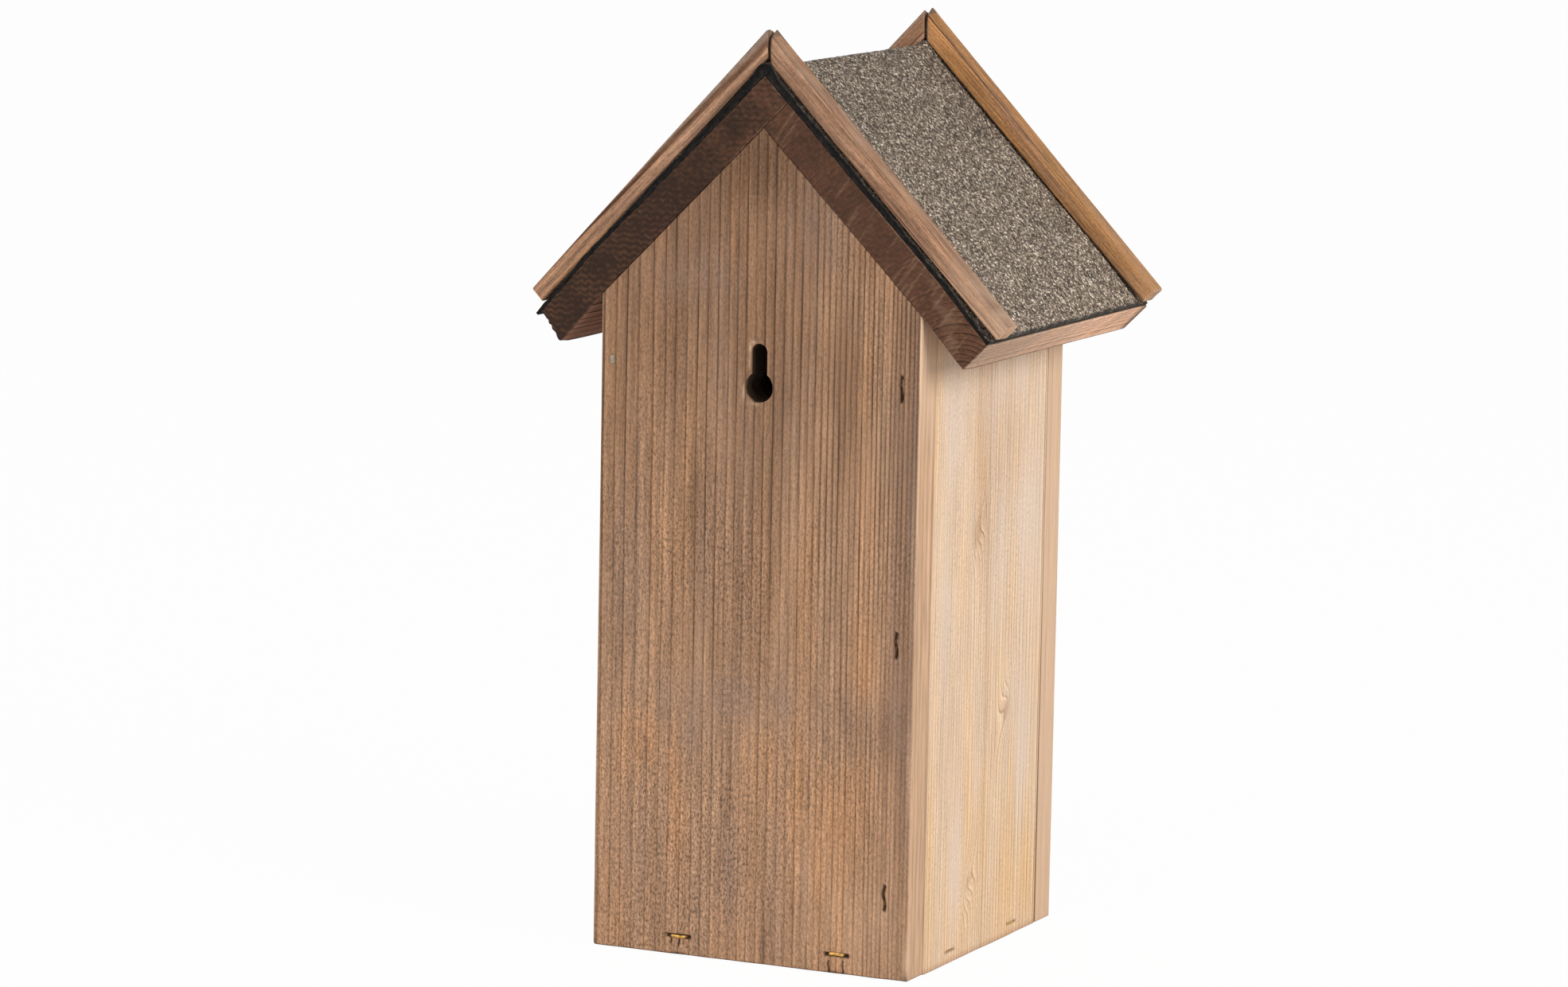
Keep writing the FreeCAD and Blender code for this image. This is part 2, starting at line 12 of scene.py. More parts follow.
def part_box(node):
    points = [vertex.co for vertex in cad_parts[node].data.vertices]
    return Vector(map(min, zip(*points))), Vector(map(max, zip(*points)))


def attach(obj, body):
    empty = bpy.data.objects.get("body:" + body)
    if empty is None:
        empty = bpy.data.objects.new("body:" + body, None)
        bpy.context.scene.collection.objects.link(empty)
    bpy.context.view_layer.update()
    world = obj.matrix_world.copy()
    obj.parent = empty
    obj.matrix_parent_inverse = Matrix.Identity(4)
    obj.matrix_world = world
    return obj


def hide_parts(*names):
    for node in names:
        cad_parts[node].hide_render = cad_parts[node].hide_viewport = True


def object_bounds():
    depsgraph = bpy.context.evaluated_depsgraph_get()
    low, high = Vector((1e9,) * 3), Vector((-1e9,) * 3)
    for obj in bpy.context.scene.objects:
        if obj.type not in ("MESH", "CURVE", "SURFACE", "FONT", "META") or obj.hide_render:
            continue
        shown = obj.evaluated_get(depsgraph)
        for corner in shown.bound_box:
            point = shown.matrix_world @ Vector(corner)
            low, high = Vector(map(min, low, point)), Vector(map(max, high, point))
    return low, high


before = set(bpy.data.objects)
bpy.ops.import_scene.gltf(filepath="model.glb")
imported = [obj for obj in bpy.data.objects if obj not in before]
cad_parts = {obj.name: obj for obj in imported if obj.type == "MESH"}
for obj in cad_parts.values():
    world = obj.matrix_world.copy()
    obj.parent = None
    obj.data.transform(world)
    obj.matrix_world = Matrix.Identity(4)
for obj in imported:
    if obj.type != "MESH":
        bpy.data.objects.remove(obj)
cad_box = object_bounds()

# Back panel: five-sided board of brushed, browned softwood that covers the ends of the side walls.
# It hangs on a screw by its keyhole, and staples hold it to the fixed wall and to the floor.
MM = 0.001


def soft_noise(points, scale, seed):
    """Smooth noise between -1 and 1 at each point, with bumps about scale apart along each axis."""
    cell = points / np.asarray(scale)
    base = np.floor(cell).astype(np.int64)
    part = cell - base
    part = part * part * (3 - 2 * part)
    total = np.zeros(len(points))
    for corner in np.ndindex(2, 2, 2):
        key = (base + corner) @ np.array([73856093, 19349663, 83492791]) + seed * 2654435761
        key = (key ^ (key >> 13)) * 1274126177 & 0xFFFFFFFF
        key = (key ^ (key >> 15)) * 2246822519 & 0xFFFFFFFF
        weight = np.prod(np.where(corner, part, 1 - part), axis=1)
        total += weight * ((key ^ (key >> 16)) / 2 ** 31 - 1)
    return total


def drawn_noise(points, across, along, seed):
    """Soft noise drawn out along a board's third axis, with bumps of that many millimetres."""
    return soft_noise(points, np.array([across, across, along]) * MM, seed)


def fade(values, start, end):
    """0 at start, 1 at end, smooth between them."""
    part = np.clip((values - start) / (end - start), 0, 1)
    return part * part * (3 - 2 * part)


def grid_lines(start, end, radius, step, *fine_zones):
    """Lines of a board's mesh along one axis: an even step, finer zones of (from, to, step), rounded ends."""
    low, high = start + radius, end - radius
    lines = np.linspace(low, high, max(2, round((high - low) / step) + 1))
    for first, last, fine in fine_zones:
        first, last = max(first, low), min(last, high)
        inside = np.linspace(first, last, max(2, round((last - first) / fine) + 1))
        lines = np.concatenate([lines[(lines < first - fine / 2) | (lines > last + fine / 2)], inside])
    turn = radius * math.tan(math.pi / 8)
    return np.unique(np.concatenate([lines, [start, low, low - turn, high + turn, high, end]]).round(7))


def rounded_board(lines, radius):
    """Points, outward normals and faces of a closed board with rounded edges, one grid for each side."""
    counts = [len(line) for line in lines]
    quads = []
    for axis in range(3):
        second, third = (axis + 1) % 3, (axis + 2) % 3
        j, k = np.meshgrid(np.arange(counts[second] - 1), np.arange(counts[third] - 1), indexing="ij")
        for end in (0, counts[axis] - 1):
            corners = []
            for dj, dk in ((0, 0), (1, 0), (1, 1), (0, 1)):
                index = [None, None, None]
                index[axis] = np.full(j.shape, end)
                index[second] = j + dj
                index[third] = k + dk
                corners.append(np.ravel_multi_index(index, counts).ravel())
            quads.append(np.stack(corners if end else corners[::-1], axis=1))
    keys, faces = np.unique(np.concatenate(quads), return_inverse=True)
    index = np.unravel_index(keys, counts)
    points = np.stack([line[i] for line, i in zip(lines, index)], axis=1)
    inner = np.clip(points, [line[0] + radius for line in lines], [line[-1] - radius for line in lines])
    normals = points - inner
    normals /= np.linalg.norm(normals, axis=1, keepdims=True)
    return inner + radius * normals, normals, faces.reshape(-1, 4)


def make_piece(name, points, faces, material):
    mesh = bpy.data.meshes.new(name)
    mesh.from_pydata(points.tolist(), [], [list(face) for face in faces])
    mesh.materials.append(material)
    mesh.update()
    piece = bpy.data.objects.new(name, mesh)
    bpy.context.scene.collection.objects.link(piece)
    return piece


def smooth(piece, sharp_from=40):
    piece.data.shade_smooth()
    piece.data.set_sharp_from_angle(angle=math.radians(sharp_from))


def ring_faces(rings, count):
    """Faces of a closed tube of rings with that many points each."""
    last = (rings - 1) * count
    faces = [[row + i, row + (i + 1) % count, row + count + (i + 1) % count, row + count + i]
             for row in range(0, last, count) for i in range(count)]
    return faces + [list(range(count))[::-1], list(range(last, last + count))]


def prism(outline, axis, levels):
    """Points and faces of a straight prism on a closed outline, with a ring at each level of a world axis."""
    count = len(outline)
    points = np.zeros((len(levels), count, 3))
    points[:, :, axis] = np.asarray(levels)[:, None]
    points[:, :, (axis + 1) % 3] = outline[:, 0]
    points[:, :, (axis + 2) % 3] = outline[:, 1]
    return points.reshape(-1, 3), ring_faces(len(levels), count)


def cut_away(piece, points, faces):
    """Cuts a closed tool shape out of the piece."""
    tool = make_piece("tool", points, faces, piece.data.materials[0])
    cut = piece.modifiers.new("cut", "BOOLEAN")
    cut.operation = "DIFFERENCE"
    cut.solver = "EXACT"
    cut.object = tool
    bpy.context.view_layer.update()
    shaped = bpy.data.meshes.new_from_object(piece.evaluated_get(bpy.context.evaluated_depsgraph_get()))
    piece.modifiers.remove(cut)
    old = piece.data
    piece.data = shaped
    bpy.data.meshes.remove(old)
    shaped.name = piece.name
    bpy.data.objects.remove(tool)


def ring_count(points, pith, ring_width, wave, seed):
    """Annual rings between the pith and each point of a board; its axes are across, through and along."""
    slow = points * [1, 1, 0.12]
    reach = np.hypot(points[:, 0] - pith[0], points[:, 1] - pith[1])
    reach = reach + wave * (soft_noise(slow, 24 * MM, seed) + 0.4 * soft_noise(slow, 9 * MM, seed + 1))
    return reach / ring_width + 0.5 * soft_noise(reach[:, None] * [1, 0, 0], 7 * MM, seed + 2)


def board_points(piece, origin, axes):
    """The vertices of a piece in its board's own axes."""
    points = np.empty(3 * len(piece.data.vertices))
    piece.data.vertices.foreach_get("co", points)
    return (points.reshape(-1, 3) - origin) @ np.transpose(axes)


def paint_points(piece, **layers):
    """Stores one number or one vector for each vertex, for the material to read."""
    for name, values in layers.items():
        flat = np.ascontiguousarray(values, dtype=np.float32)
        kind, field = ("FLOAT", "value") if flat.ndim == 1 else ("FLOAT_VECTOR", "vector")
        piece.data.attributes.new(name, kind, "POINT").data.foreach_set(field, flat.ravel())


def colour(red, green, blue):
    """Linear colour of a display colour of 0 to 255."""
    parts = [c / 255 for c in (red, green, blue)]
    return (*[c / 12.92 if c <= 0.04045 else ((c + 0.055) / 1.055) ** 2.4 for c in parts], 1)


def node(tree, kind, inputs=(), **settings):
    """New node with its sockets linked or set; inputs maps a socket's name or number to a value or socket."""
    made = tree.nodes.new(kind)
    for name, setting in settings.items():
        setattr(made, name, setting)
    for socket, value in dict(inputs).items():
        if isinstance(value, bpy.types.NodeSocket):
            tree.links.new(value, made.inputs[socket])
        else:
            made.inputs[socket].default_value = value
    return made


def maths(tree, operation, *values, clamp=False):
    return node(tree, "ShaderNodeMath", enumerate(values), operation=operation, use_clamp=clamp).outputs[0]


def blend(tree, factor, first, second, kind="MIX"):
    return node(tree, "ShaderNodeMix", {0: factor, 6: first, 7: second}, data_type="RGBA",
                blend_type=kind, clamp_factor=True).outputs[2]


def steps(tree, factor, *stops):
    """Value that follows stops of (place, value) along the factor."""
    ramp = node(tree, "ShaderNodeValToRGB", {0: factor})
    elements = ramp.color_ramp.elements
    while len(elements) < len(stops):
        elements.new(0.5)
    for element, (place, value) in zip(elements, stops):
        element.position = place
        element.color = value if isinstance(value, tuple) else (value, value, value, 1)
    return ramp.outputs[0]


def grain_noise(tree, board, across, along, detail=3.0):
    """Noise with that many bumps to the metre across and along the grain."""
    place = node(tree, "ShaderNodeVectorMath", {0: board, 1: (across, across, along)}, operation="MULTIPLY")
    return node(tree, "ShaderNodeTexNoise", {"Vector": place.outputs[0], "Scale": 1.0, "Detail": detail,
                                             "Roughness": 0.6}).outputs[0]


def attribute(tree, name, vector=False):
    return node(tree, "ShaderNodeAttribute", attribute_name=name).outputs["Vector" if vector else "Fac"]


def new_material(name):
    """New material, its node tree and its main shader."""
    material = bpy.data.materials.new(name)
    material.use_nodes = True
    return material, material.node_tree, material.node_tree.nodes["Principled BSDF"]


def new_group(name, inputs, outputs):
    """Empty shader group with its named sockets, and its two end nodes."""
    group = bpy.data.node_groups.new(name, "ShaderNodeTree")
    for side, sockets in (("INPUT", inputs), ("OUTPUT", outputs)):
        for socket, kind in sockets:
            group.interface.new_socket(socket, in_out=side, socket_type="NodeSocket" + kind)
    return group, group.nodes.new("NodeGroupInput").outputs, group.nodes.new("NodeGroupOutput").inputs


def shaded(tree, base, factor):
    """The colour times a number."""
    grey = node(tree, "ShaderNodeCombineColor", {0: factor, 1: factor, 2: factor}).outputs[0]
    return blend(tree, 1.0, base, grey, "MULTIPLY")


wood_grain, given, put = new_group(
    "wood_grain",
    (("Ring", "Float"), ("Width", "Float"), ("Board", "Vector"), ("Early", "Color"), ("Late", "Color"),
     ("Line", "Float"), ("Fibre", "Float")),
    (("Color", "Color"), ("Height", "Float")))
tree = wood_grain
season = maths(tree, "FRACT", given["Ring"])
ahead = maths(tree, "DIVIDE", maths(tree, "SUBTRACT", season, 1.0), given["Width"])
late_wood = steps(tree, maths(tree, "MULTIPLY_ADD", ahead, 0.67, 1.0),
                  (0.0, 0.0), (0.35, 0.2), (0.62, 1.0), (0.9, 1.0), (1.0, 0.35))
late_wood = maths(tree, "MULTIPLY_ADD", maths(tree, "POWER", season, 2.0), 0.15, late_wood)
vigour = node(tree, "ShaderNodeTexNoise", {"W": given["Ring"], "Scale": 0.9}, noise_dimensions="1D")
vigour = steps(tree, vigour.outputs[0], (0.32, 0.5), (0.68, 1.0))
broken = steps(tree, grain_noise(tree, given["Board"], 420, 16), (0.3, 0.3), (0.65, 1.0))
ring_line = maths(tree, "MULTIPLY", maths(tree, "MULTIPLY", vigour, broken), given["Line"])
ring_line = maths(tree, "MULTIPLY", late_wood, ring_line, clamp=True)
behind = maths(tree, "DIVIDE", season, given["Width"])
crest = steps(tree, maths(tree, "MULTIPLY", behind, 0.4), (0.0, 0.4), (0.35, 1.0), (1.0, 0.0))
crest = maths(tree, "MULTIPLY", maths(tree, "MULTIPLY", crest, vigour), given["Line"])
spread = maths(tree, "MULTIPLY_ADD", crest, 0.17, 1.0)
for noise, weight in ((grain_noise(tree, given["Board"], 1500, 60, 4.0), 1.0),
                      (grain_noise(tree, given["Board"], 560, 26), 0.9),
                      (grain_noise(tree, given["Board"], 210, 6), 0.5)):
    part = maths(tree, "MULTIPLY", maths(tree, "SUBTRACT", noise, 0.5), weight)
    spread = maths(tree, "MULTIPLY_ADD", part, given["Fibre"], spread)
ringed = blend(tree, ring_line, given["Early"], given["Late"])
tree.links.new(shaded(tree, ringed, spread), put["Color"])
tree.links.new(maths(tree, "MULTIPLY_ADD", spread, 0.5, ring_line), put["Height"])


def timber(name, face, side, end, fibre_spread, bump, dark, warm, veil, pale):
    """Wood whose face, sawn sides and end grain each take (early colour, late colour, line strength).

    The tone layer leads from the dark tint over none to the warm tint. Veil and pale are layers' colours.
    """
    material, tree, shader = new_material(name)
    shader.inputs["Specular IOR Level"].default_value = 0.2
    ring, board = attribute(tree, "ring"), attribute(tree, "board", vector=True)
    width = maths(tree, "MAXIMUM", attribute(tree, "line"), 0.16)
    clear = maths(tree, "SUBTRACT", 1.0, attribute(tree, "faint"))
    surfaces = []
    for early, late, line in (face, side, end):
        surface = node(tree, "ShaderNodeGroup", {
            "Ring": ring, "Width": width, "Board": board, "Early": colour(*early), "Late": colour(*late),
            "Line": maths(tree, "MULTIPLY", clear, line), "Fibre": fibre_spread}, node_tree=wood_grain)
        surfaces.append(surface.outputs)
    shown = surfaces[0]["Color"]
    for sign, tint in ((-1.0, dark), (1.0, warm)):
        share = maths(tree, "MULTIPLY", attribute(tree, "tone"), sign, clamp=True)
        shown = blend(tree, share, shown, (*tint, 1), "MULTIPLY")
    hues = steps(tree, grain_noise(tree, board, 75, 8), (0.34, (0.96, 1.0, 1.06, 1)),
                 (0.5, (1.0, 1.0, 1.0, 1)), (0.66, (1.03, 0.99, 0.92, 1)))
    shown = blend(tree, 1.0, shown, hues, "MULTIPLY")
    shown = blend(tree, attribute(tree, "veil"), shown, colour(*veil))
    matted = grain_noise(tree, board, 1250, 700)
    fuzz = attribute(tree, "fuzz")
    lift = maths(tree, "MULTIPLY", maths(tree, "SUBTRACT", matted, 0.5), fuzz)
    shown = shaded(tree, shown, maths(tree, "MULTIPLY_ADD", lift, 3.0, 1.0))
    speck = maths(tree, "MULTIPLY", steps(tree, matted, (0.34, 1.0), (0.44, 0.0)), fuzz)
    shown = blend(tree, maths(tree, "MULTIPLY", speck, 0.32), shown, colour(84, 58, 40))
    shown = blend(tree, attribute(tree, "side"), shown, surfaces[1]["Color"])
    shown = blend(tree, attribute(tree, "end"), shown, surfaces[2]["Color"])
    shown = blend(tree, attribute(tree, "worn"), shown, colour(*pale))
    # This layer darkens to near black: real stains from staples, glue, soot and charring, and also painted
    # shade between boards, in holes, in saw ripples and in the open mitre.
    shown = blend(tree, attribute(tree, "stain"), shown, colour(34, 23, 16))
    tree.links.new(shown, shader.inputs["Base Color"])
    tree.links.new(steps(tree, surfaces[0]["Height"], (0.0, 0.62), (1.0, 0.85)), shader.inputs["Roughness"])
    height = maths(tree, "MULTIPLY_ADD", lift, 2.5, surfaces[0]["Height"])
    relief = node(tree, "ShaderNodeBump", {"Height": height, "Strength": bump, "Distance": 0.6 * MM})
    tree.links.new(relief.outputs[0], shader.inputs["Normal"])
    return material


gable_wood = timber("gable_wood", face=((169, 132, 103), (102, 74, 54), 1.15),
                    side=((194, 159, 129), (168, 130, 98), 0.9), end=((120, 86, 64), (70, 48, 35), 1.0),
                    fibre_spread=1.0, bump=0.6, dark=(0.60, 0.56, 0.53), warm=(1.22, 1.08, 0.90),
                    veil=(146, 122, 108), pale=(226, 193, 163))

PANEL_HALF = 68 * MM
PANEL_THICK = 15 * MM
EAVE = 258 * MM
APEX = EAVE + PANEL_HALF
PANEL_EDGE = 0.9 * MM
STAPLE_HALF = 4.5 * MM
BACK_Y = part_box("back_panel")[1].y
edge_staples = np.array([(-60, 229.5), (-60, 130.75), (-57.2, 32)]) * MM
floor_staples = np.array([(-37.5, 7.5), (30.5, 7.5)]) * MM
pivot = np.array([(63, 232.5)]) * MM
# Splits below the floor staples: x, z and half length in millimetres.
splits = ((-34.2, 2.2, 2.6), (-40.3, 2.4, 2.8), (30.3, 5.6, 2.0), (33.8, 5.4, 1.2))
WORLD_AXES = np.eye(3)
# Fine zones of the mesh around the fasteners and the holes: from, to and step.
ZONES_ACROSS = np.array([(-62, -55, 0.4), (-43.5, -31.5, 0.4), (-8, 8, 0.5), (24.5, 36.5, 0.4),
                         (61, 65, 0.4)]) * MM
ZONES_ALONG = np.array([(0.9, 14, 0.5), (30, 47, 0.7), (152, 168, 0.8), (216, 248, 0.8),
                        (272, 293, 0.7)]) * MM


def gable_grid():
    """Mesh of a gable panel from y = 0 to its thickness."""
    across = grid_lines(-PANEL_HALF, PANEL_HALF, PANEL_EDGE, 1.0 * MM, *ZONES_ACROSS)
    through = grid_lines(0, PANEL_THICK, PANEL_EDGE, 2.5 * MM)
    along = grid_lines(0, APEX, PANEL_EDGE, 6 * MM, *ZONES_ALONG)
    points, normals, faces = rounded_board((across, through, along), PANEL_EDGE)
    points[:, 2] *= (APEX - np.abs(points[:, 0])) / APEX
    return points, normals, faces


def slits(x, z, places, half_x, half_z, rim=0.45 * MM):
    """1 inside a narrow slit around each place, 0 outside, with soft rims."""
    depth = np.zeros(len(x))
    for centre_x, centre_z in places:
        reach = np.maximum(np.abs(x - centre_x) - half_x, np.abs(z - centre_z) - half_z)
        depth = np.maximum(depth, 1 - fade(reach, -0.1 * MM, rim))
    return depth


def staple_marks(points):
    """How deep the fasteners sank into a panel's face, and how far the wood split below them."""
    x, z = points[:, 0], points[:, 2]
    bow = 0.35 * MM * np.sin(z * 700)
    marks = slits(x + bow, z, edge_staples, 0.45 * MM, STAPLE_HALF + 0.2 * MM)
    marks = np.maximum(marks, slits(x, z, floor_staples, STAPLE_HALF + 0.5 * MM, 0.45 * MM, 0.7 * MM))
    for centre_x, centre_z in edge_staples:
        ends = ((centre_x, centre_z - STAPLE_HALF), (centre_x, centre_z + STAPLE_HALF))
        marks = np.maximum(marks, slits(x, z, ends, 0.4 * MM, 0.5 * MM))
    marks = np.maximum(marks, 0.35 * slits(x, z, pivot, 0.7 * MM, 1.6 * MM, 0.6 * MM))
    for centre_x, centre_z, half in splits:
        crook = 0.25 * MM * np.sin(z * 1300)
        place = ((centre_x * MM, centre_z * MM),)
        marks = np.maximum(marks, slits(x + crook, z, place, 0.1 * MM, half * MM, 0.35 * MM))
    return marks


def patches(x, z, places):
    """Soft spots of (x, z, half width, half height, amount), in millimetres, added up."""
    total = np.zeros(len(x))
    for centre_x, centre_z, half_x, half_z, amount in places:
        reach = ((x / MM - centre_x) / half_x) ** 2 + ((z / MM - centre_z) / half_z) ** 2
        total += amount * np.exp(-reach)
    return total


points, normals, faces = gable_grid()
on_face = fade(points[:, 1], PANEL_THICK - 0.5 * MM, PANEL_THICK)
uneven = 0.12 * MM * (1 + drawn_noise(points, 9, 60, 3))
worn = 0.5 * MM * fade(drawn_noise(points, 12, 16, 4), 0.2, 0.9)
on_edge = 1 - np.max(np.abs(normals), axis=1)
points -= normals * (uneven + worn * on_edge * 2 + 1.0 * MM * on_face * staple_marks(points))[:, None]
# Its lower corners are worn round: side and radius.
WORN_CORNERS = ((-1, 1.6 * MM), (1, 2.0 * MM))
for side, radius in WORN_CORNERS:
    past = np.column_stack([side * points[:, 0] - PANEL_HALF, -points[:, 2]]) + radius
    over = 1 - radius / np.maximum(np.linalg.norm(past, axis=1), radius)
    over = over * np.all(past > 0, axis=1)
    points[:, 0] -= side * past[:, 0] * over
    points[:, 2] += past[:, 1] * over
points[:, 1] += BACK_Y - PANEL_THICK
back_panel = make_piece("back_panel_board", points, faces, gable_wood)

KEYHOLE_Z = EAVE - 32 * MM
KEYHOLE_R = 6 * MM
SLOT_HALF = 3.5 * MM
SLOT_RISE = 13.5 * MM
shoulder = math.acos(SLOT_HALF / KEYHOLE_R)
around = np.linspace(math.pi - shoulder, 2 * math.pi + shoulder, 40)
rim = [(KEYHOLE_R * math.cos(a), KEYHOLE_R * math.sin(a)) for a in around]
rim += [(SLOT_HALF * math.cos(a), SLOT_RISE + SLOT_HALF * math.sin(a)) for a in np.linspace(0, math.pi, 20)]
rim = np.array(rim)
ragged = 0.15 * MM * soft_noise(np.column_stack([rim, 0 * rim[:, 0]]), 1.5 * MM, 8)
rim = rim * (1 + ragged / np.linalg.norm(rim, axis=1))[:, None] + [0, KEYHOLE_Z]
levels = np.linspace(BACK_Y - 2 * PANEL_THICK, BACK_Y + PANEL_THICK, 46)
cut_away(back_panel, *prism(rim[::-1, ::-1], 1, levels))
smooth(back_panel)

RING_MM = 4
RING_WIDENS = 38
RING_CLOSES = 75
LINE_MM = 0.75


def paint_gable(piece, face_y, drift, seed, tone_places, veil_places, fuzz_places, pale_places,
                side_wear, seam_shade, hole):
    """Wood layers of a gable panel whose outer face is at face_y; the places are lists for patches.

    Side wear is how pale its narrow sides are, seam shade how dark its inner face is painted where the side
    walls meet it, as painted shade between the boards, and hole the (z, half size) of its hole, whose walls
    are painted nearly black as shade. Its rings widen slowly from the middle to the drift side, and close up
    on the other.
    """
    grown = board_points(piece, (0, 0, 0), WORLD_AXES)
    x, y, z = grown.T
    depth = np.abs(y - face_y)
    slow = grown * [1, 1, 0.1]
    wander = 0.6 * soft_noise(slow, 20 * MM, seed) + 0.25 * soft_noise(slow, 7 * MM, seed + 1)
    across = drift * (x / MM + wander) + 0.5 * depth / MM
    spacing = np.where(across > 0, RING_MM + across / RING_WIDENS, RING_MM * np.exp(across / RING_CLOSES))
    ring = np.where(across > 0, RING_WIDENS * np.log(spacing / RING_MM),
                    RING_CLOSES / RING_MM - RING_CLOSES / spacing)
    ring += 0.3 * soft_noise(across[:, None] * [MM, 0, 0], 6 * MM, seed + 2)
    near_face = 1 - fade(depth, 0.4 * MM, 1.2 * MM)
    side = fade(np.abs(x), PANEL_HALF - 0.7 * MM, PANEL_HALF - 0.3 * MM)
    tone = patches(x, z, tone_places) + 0.35 * drawn_noise(grown, 12, 60, seed + 5)
    # Painted shade: the tone falls towards the dark tint from the lower panel to its top, so the panel is
    # painted darker under the roof.
    tone += 0.4 * soft_noise(grown, [2.6 * MM, 3 * MM, 80 * MM], seed + 7) - fade(z, 0.06, 0.31)
    veil = patches(x, z, veil_places) * (0.8 + 0.9 * drawn_noise(grown, 3, 36, seed + 8))
    fuzz = 0.45 + patches(x, z, fuzz_places) + 0.25 * drawn_noise(grown, 12, 40, seed + 6)
    stain = 0.9 * staple_marks(grown) * (1 - fade(depth, 1.5 * MM, 2.5 * MM))
    charred = sum(np.exp(-((x - place) / (4 * MM)) ** 2) for place, _ in floor_staples)
    charred = charred * (1 - fade(z, 0.6 * MM, 1.8 * MM))
    corner = patches(x, z, ((-67, 0, 1.5, 3, 0.6), (67, 0, 1, 2, 0.4), (0, 314, 20, 20, 0.4))) * near_face
    # Painted shade: the hole's walls are painted nearly black, as shade inside the keyhole of the back panel
    # and the entrance of the front.
    inside = (np.hypot(x, z - hole[0]) < hole[1]) * fade(depth, 0.2 * MM, 2 * MM)
    # Painted shade: the inner face is darkened where the side walls meet it, so the narrow opening between
    # the boards looks dark.
    seam_shade_mask = fade(depth, PANEL_THICK - 0.6 * MM, PANEL_THICK - 0.2 * MM) * fade(np.abs(x), 53 * MM, 55 * MM)
    wear = side * np.maximum(side_wear, 0.85 * fade(z, 0.19, 0.25))
    wear += patches(x, z, pale_places) * (1 + drawn_noise(grown, 3, 30, seed + 9)) * near_face
    stain = stain + 0.7 * charred + corner + 0.92 * inside + seam_shade * seam_shade_mask
    paint_points(piece, ring=-ring, line=np.minimum(LINE_MM / spacing, 0.45),
                 faint=0.35 * fade(z, 0.19, 0.1), board=grown, side=side,
                 end=1 - fade(z, 0.3 * MM, 0.9 * MM), tone=tone * near_face,
                 veil=np.clip(veil, 0, 1) * near_face, fuzz=np.clip(fuzz, 0, 1) * near_face,
                 worn=wear, stain=np.clip(stain, 0, 1))


paint_gable(
    back_panel, BACK_Y, 1, 21,
    tone_places=((-47, 190, 9, 70, 0.45), (-34, 58, 16, 30, 0.85), (-40, 15, 22, 18, 0.2),
                 (46, 84, 14, 14, 0.6), (-5, 84, 9, 16, 0.5), (58, 60, 10, 60, 0.2), (0, 150, 16, 90, -0.12),
                 (30, 215, 30, 30, 0.15), (0, 320, 14, 18, -0.6), (-65, 110, 4, 170, -0.45),
                 (-50, 97, 15, 11, -0.55), (26, 46, 10, 20, 0.35), (-40, 262, 18, 22, 0.6),
                 (-44, 120, 12, 16, 0.25)),
    veil_places=((-63, 160, 6, 90, 0.5), (-22, 290, 14, 18, 0.45), (30, 268, 24, 10, 0.3),
                 (-45, 98, 24, 10, 0.2), (8, 104, 34, 8, 0.45), (27, 91, 8, 14, 0.55), (46, 36, 16, 30, 0.3),
                 (-13, 60, 4, 60, 0.45), (8, 34, 10, 22, 0.4), (56, 150, 8, 40, 0.3), (12, 190, 6, 60, 0.3)),
    fuzz_places=((24, 45, 46, 48, 0.75), (20, 160, 40, 30, 0.35)),
    pale_places=((-42, 16, 20, 18, 0.16), (-30, 44, 14, 20, 0.1), (-66.5, 120, 1, 200, 0.2),
                 (-66.8, 9, 1, 9, 0.5), (3.9, 241, 0.5, 2, 0.4), (4.1, 235.5, 0.4, 2.5, 0.3),
                 (2.4, 243.3, 1.2, 0.5, 0.35), (6.4, 223.5, 0.5, 2.5, 0.4), (2.5, 219.4, 2.5, 0.5, 0.3)),
    side_wear=0.0, seam_shade=0.2, hole=(KEYHOLE_Z + 6 * MM, 14 * MM))
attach(back_panel, "box")
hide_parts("back_panel")

# Front panel: the same board as the back, with the birds' round entrance sawn through it.
# The catch hook of the door sits low in its narrow side.
FRONT_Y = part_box("front_panel")[0].y
points, normals, faces = gable_grid()
on_face = 1 - fade(points[:, 1], 0, 0.5 * MM)
uneven = 0.12 * MM * (1 + drawn_noise(points, 9, 60, 13))
points -= normals * (uneven + 1.0 * MM * on_face * staple_marks(points))[:, None]
points[:, 1] += FRONT_Y
front_panel = make_piece("front_panel_board", points, faces, gable_wood)
ENTRANCE_R = 16 * MM
ENTRANCE_Z = EAVE - 58 * MM


def round_outline(radius, count):
    around = np.linspace(0, 2 * math.pi, count, endpoint=False)
    return np.column_stack([radius * np.cos(around), radius * np.sin(around)])


hole = round_outline(ENTRANCE_R, 72) + [ENTRANCE_Z, 0]
cut_away(front_panel, *prism(hole, 1, np.linspace(FRONT_Y - PANEL_THICK, FRONT_Y + 2 * PANEL_THICK, 31)))
smooth(front_panel)
paint_gable(
    front_panel, FRONT_Y, -1, 41,
    tone_places=((30, 120, 12, 150, 0.45), (-40, 60, 30, 50, 0.3), (0, 160, 50, 20, -0.2)),
    veil_places=((50, 150, 8, 90, 0.4),), fuzz_places=((-10, 70, 60, 60, 0.4),), pale_places=(),
    side_wear=0.55, seam_shade=0.7, hole=(ENTRANCE_Z, ENTRANCE_R + 1 * MM))
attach(front_panel, "box")
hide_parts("front_panel")

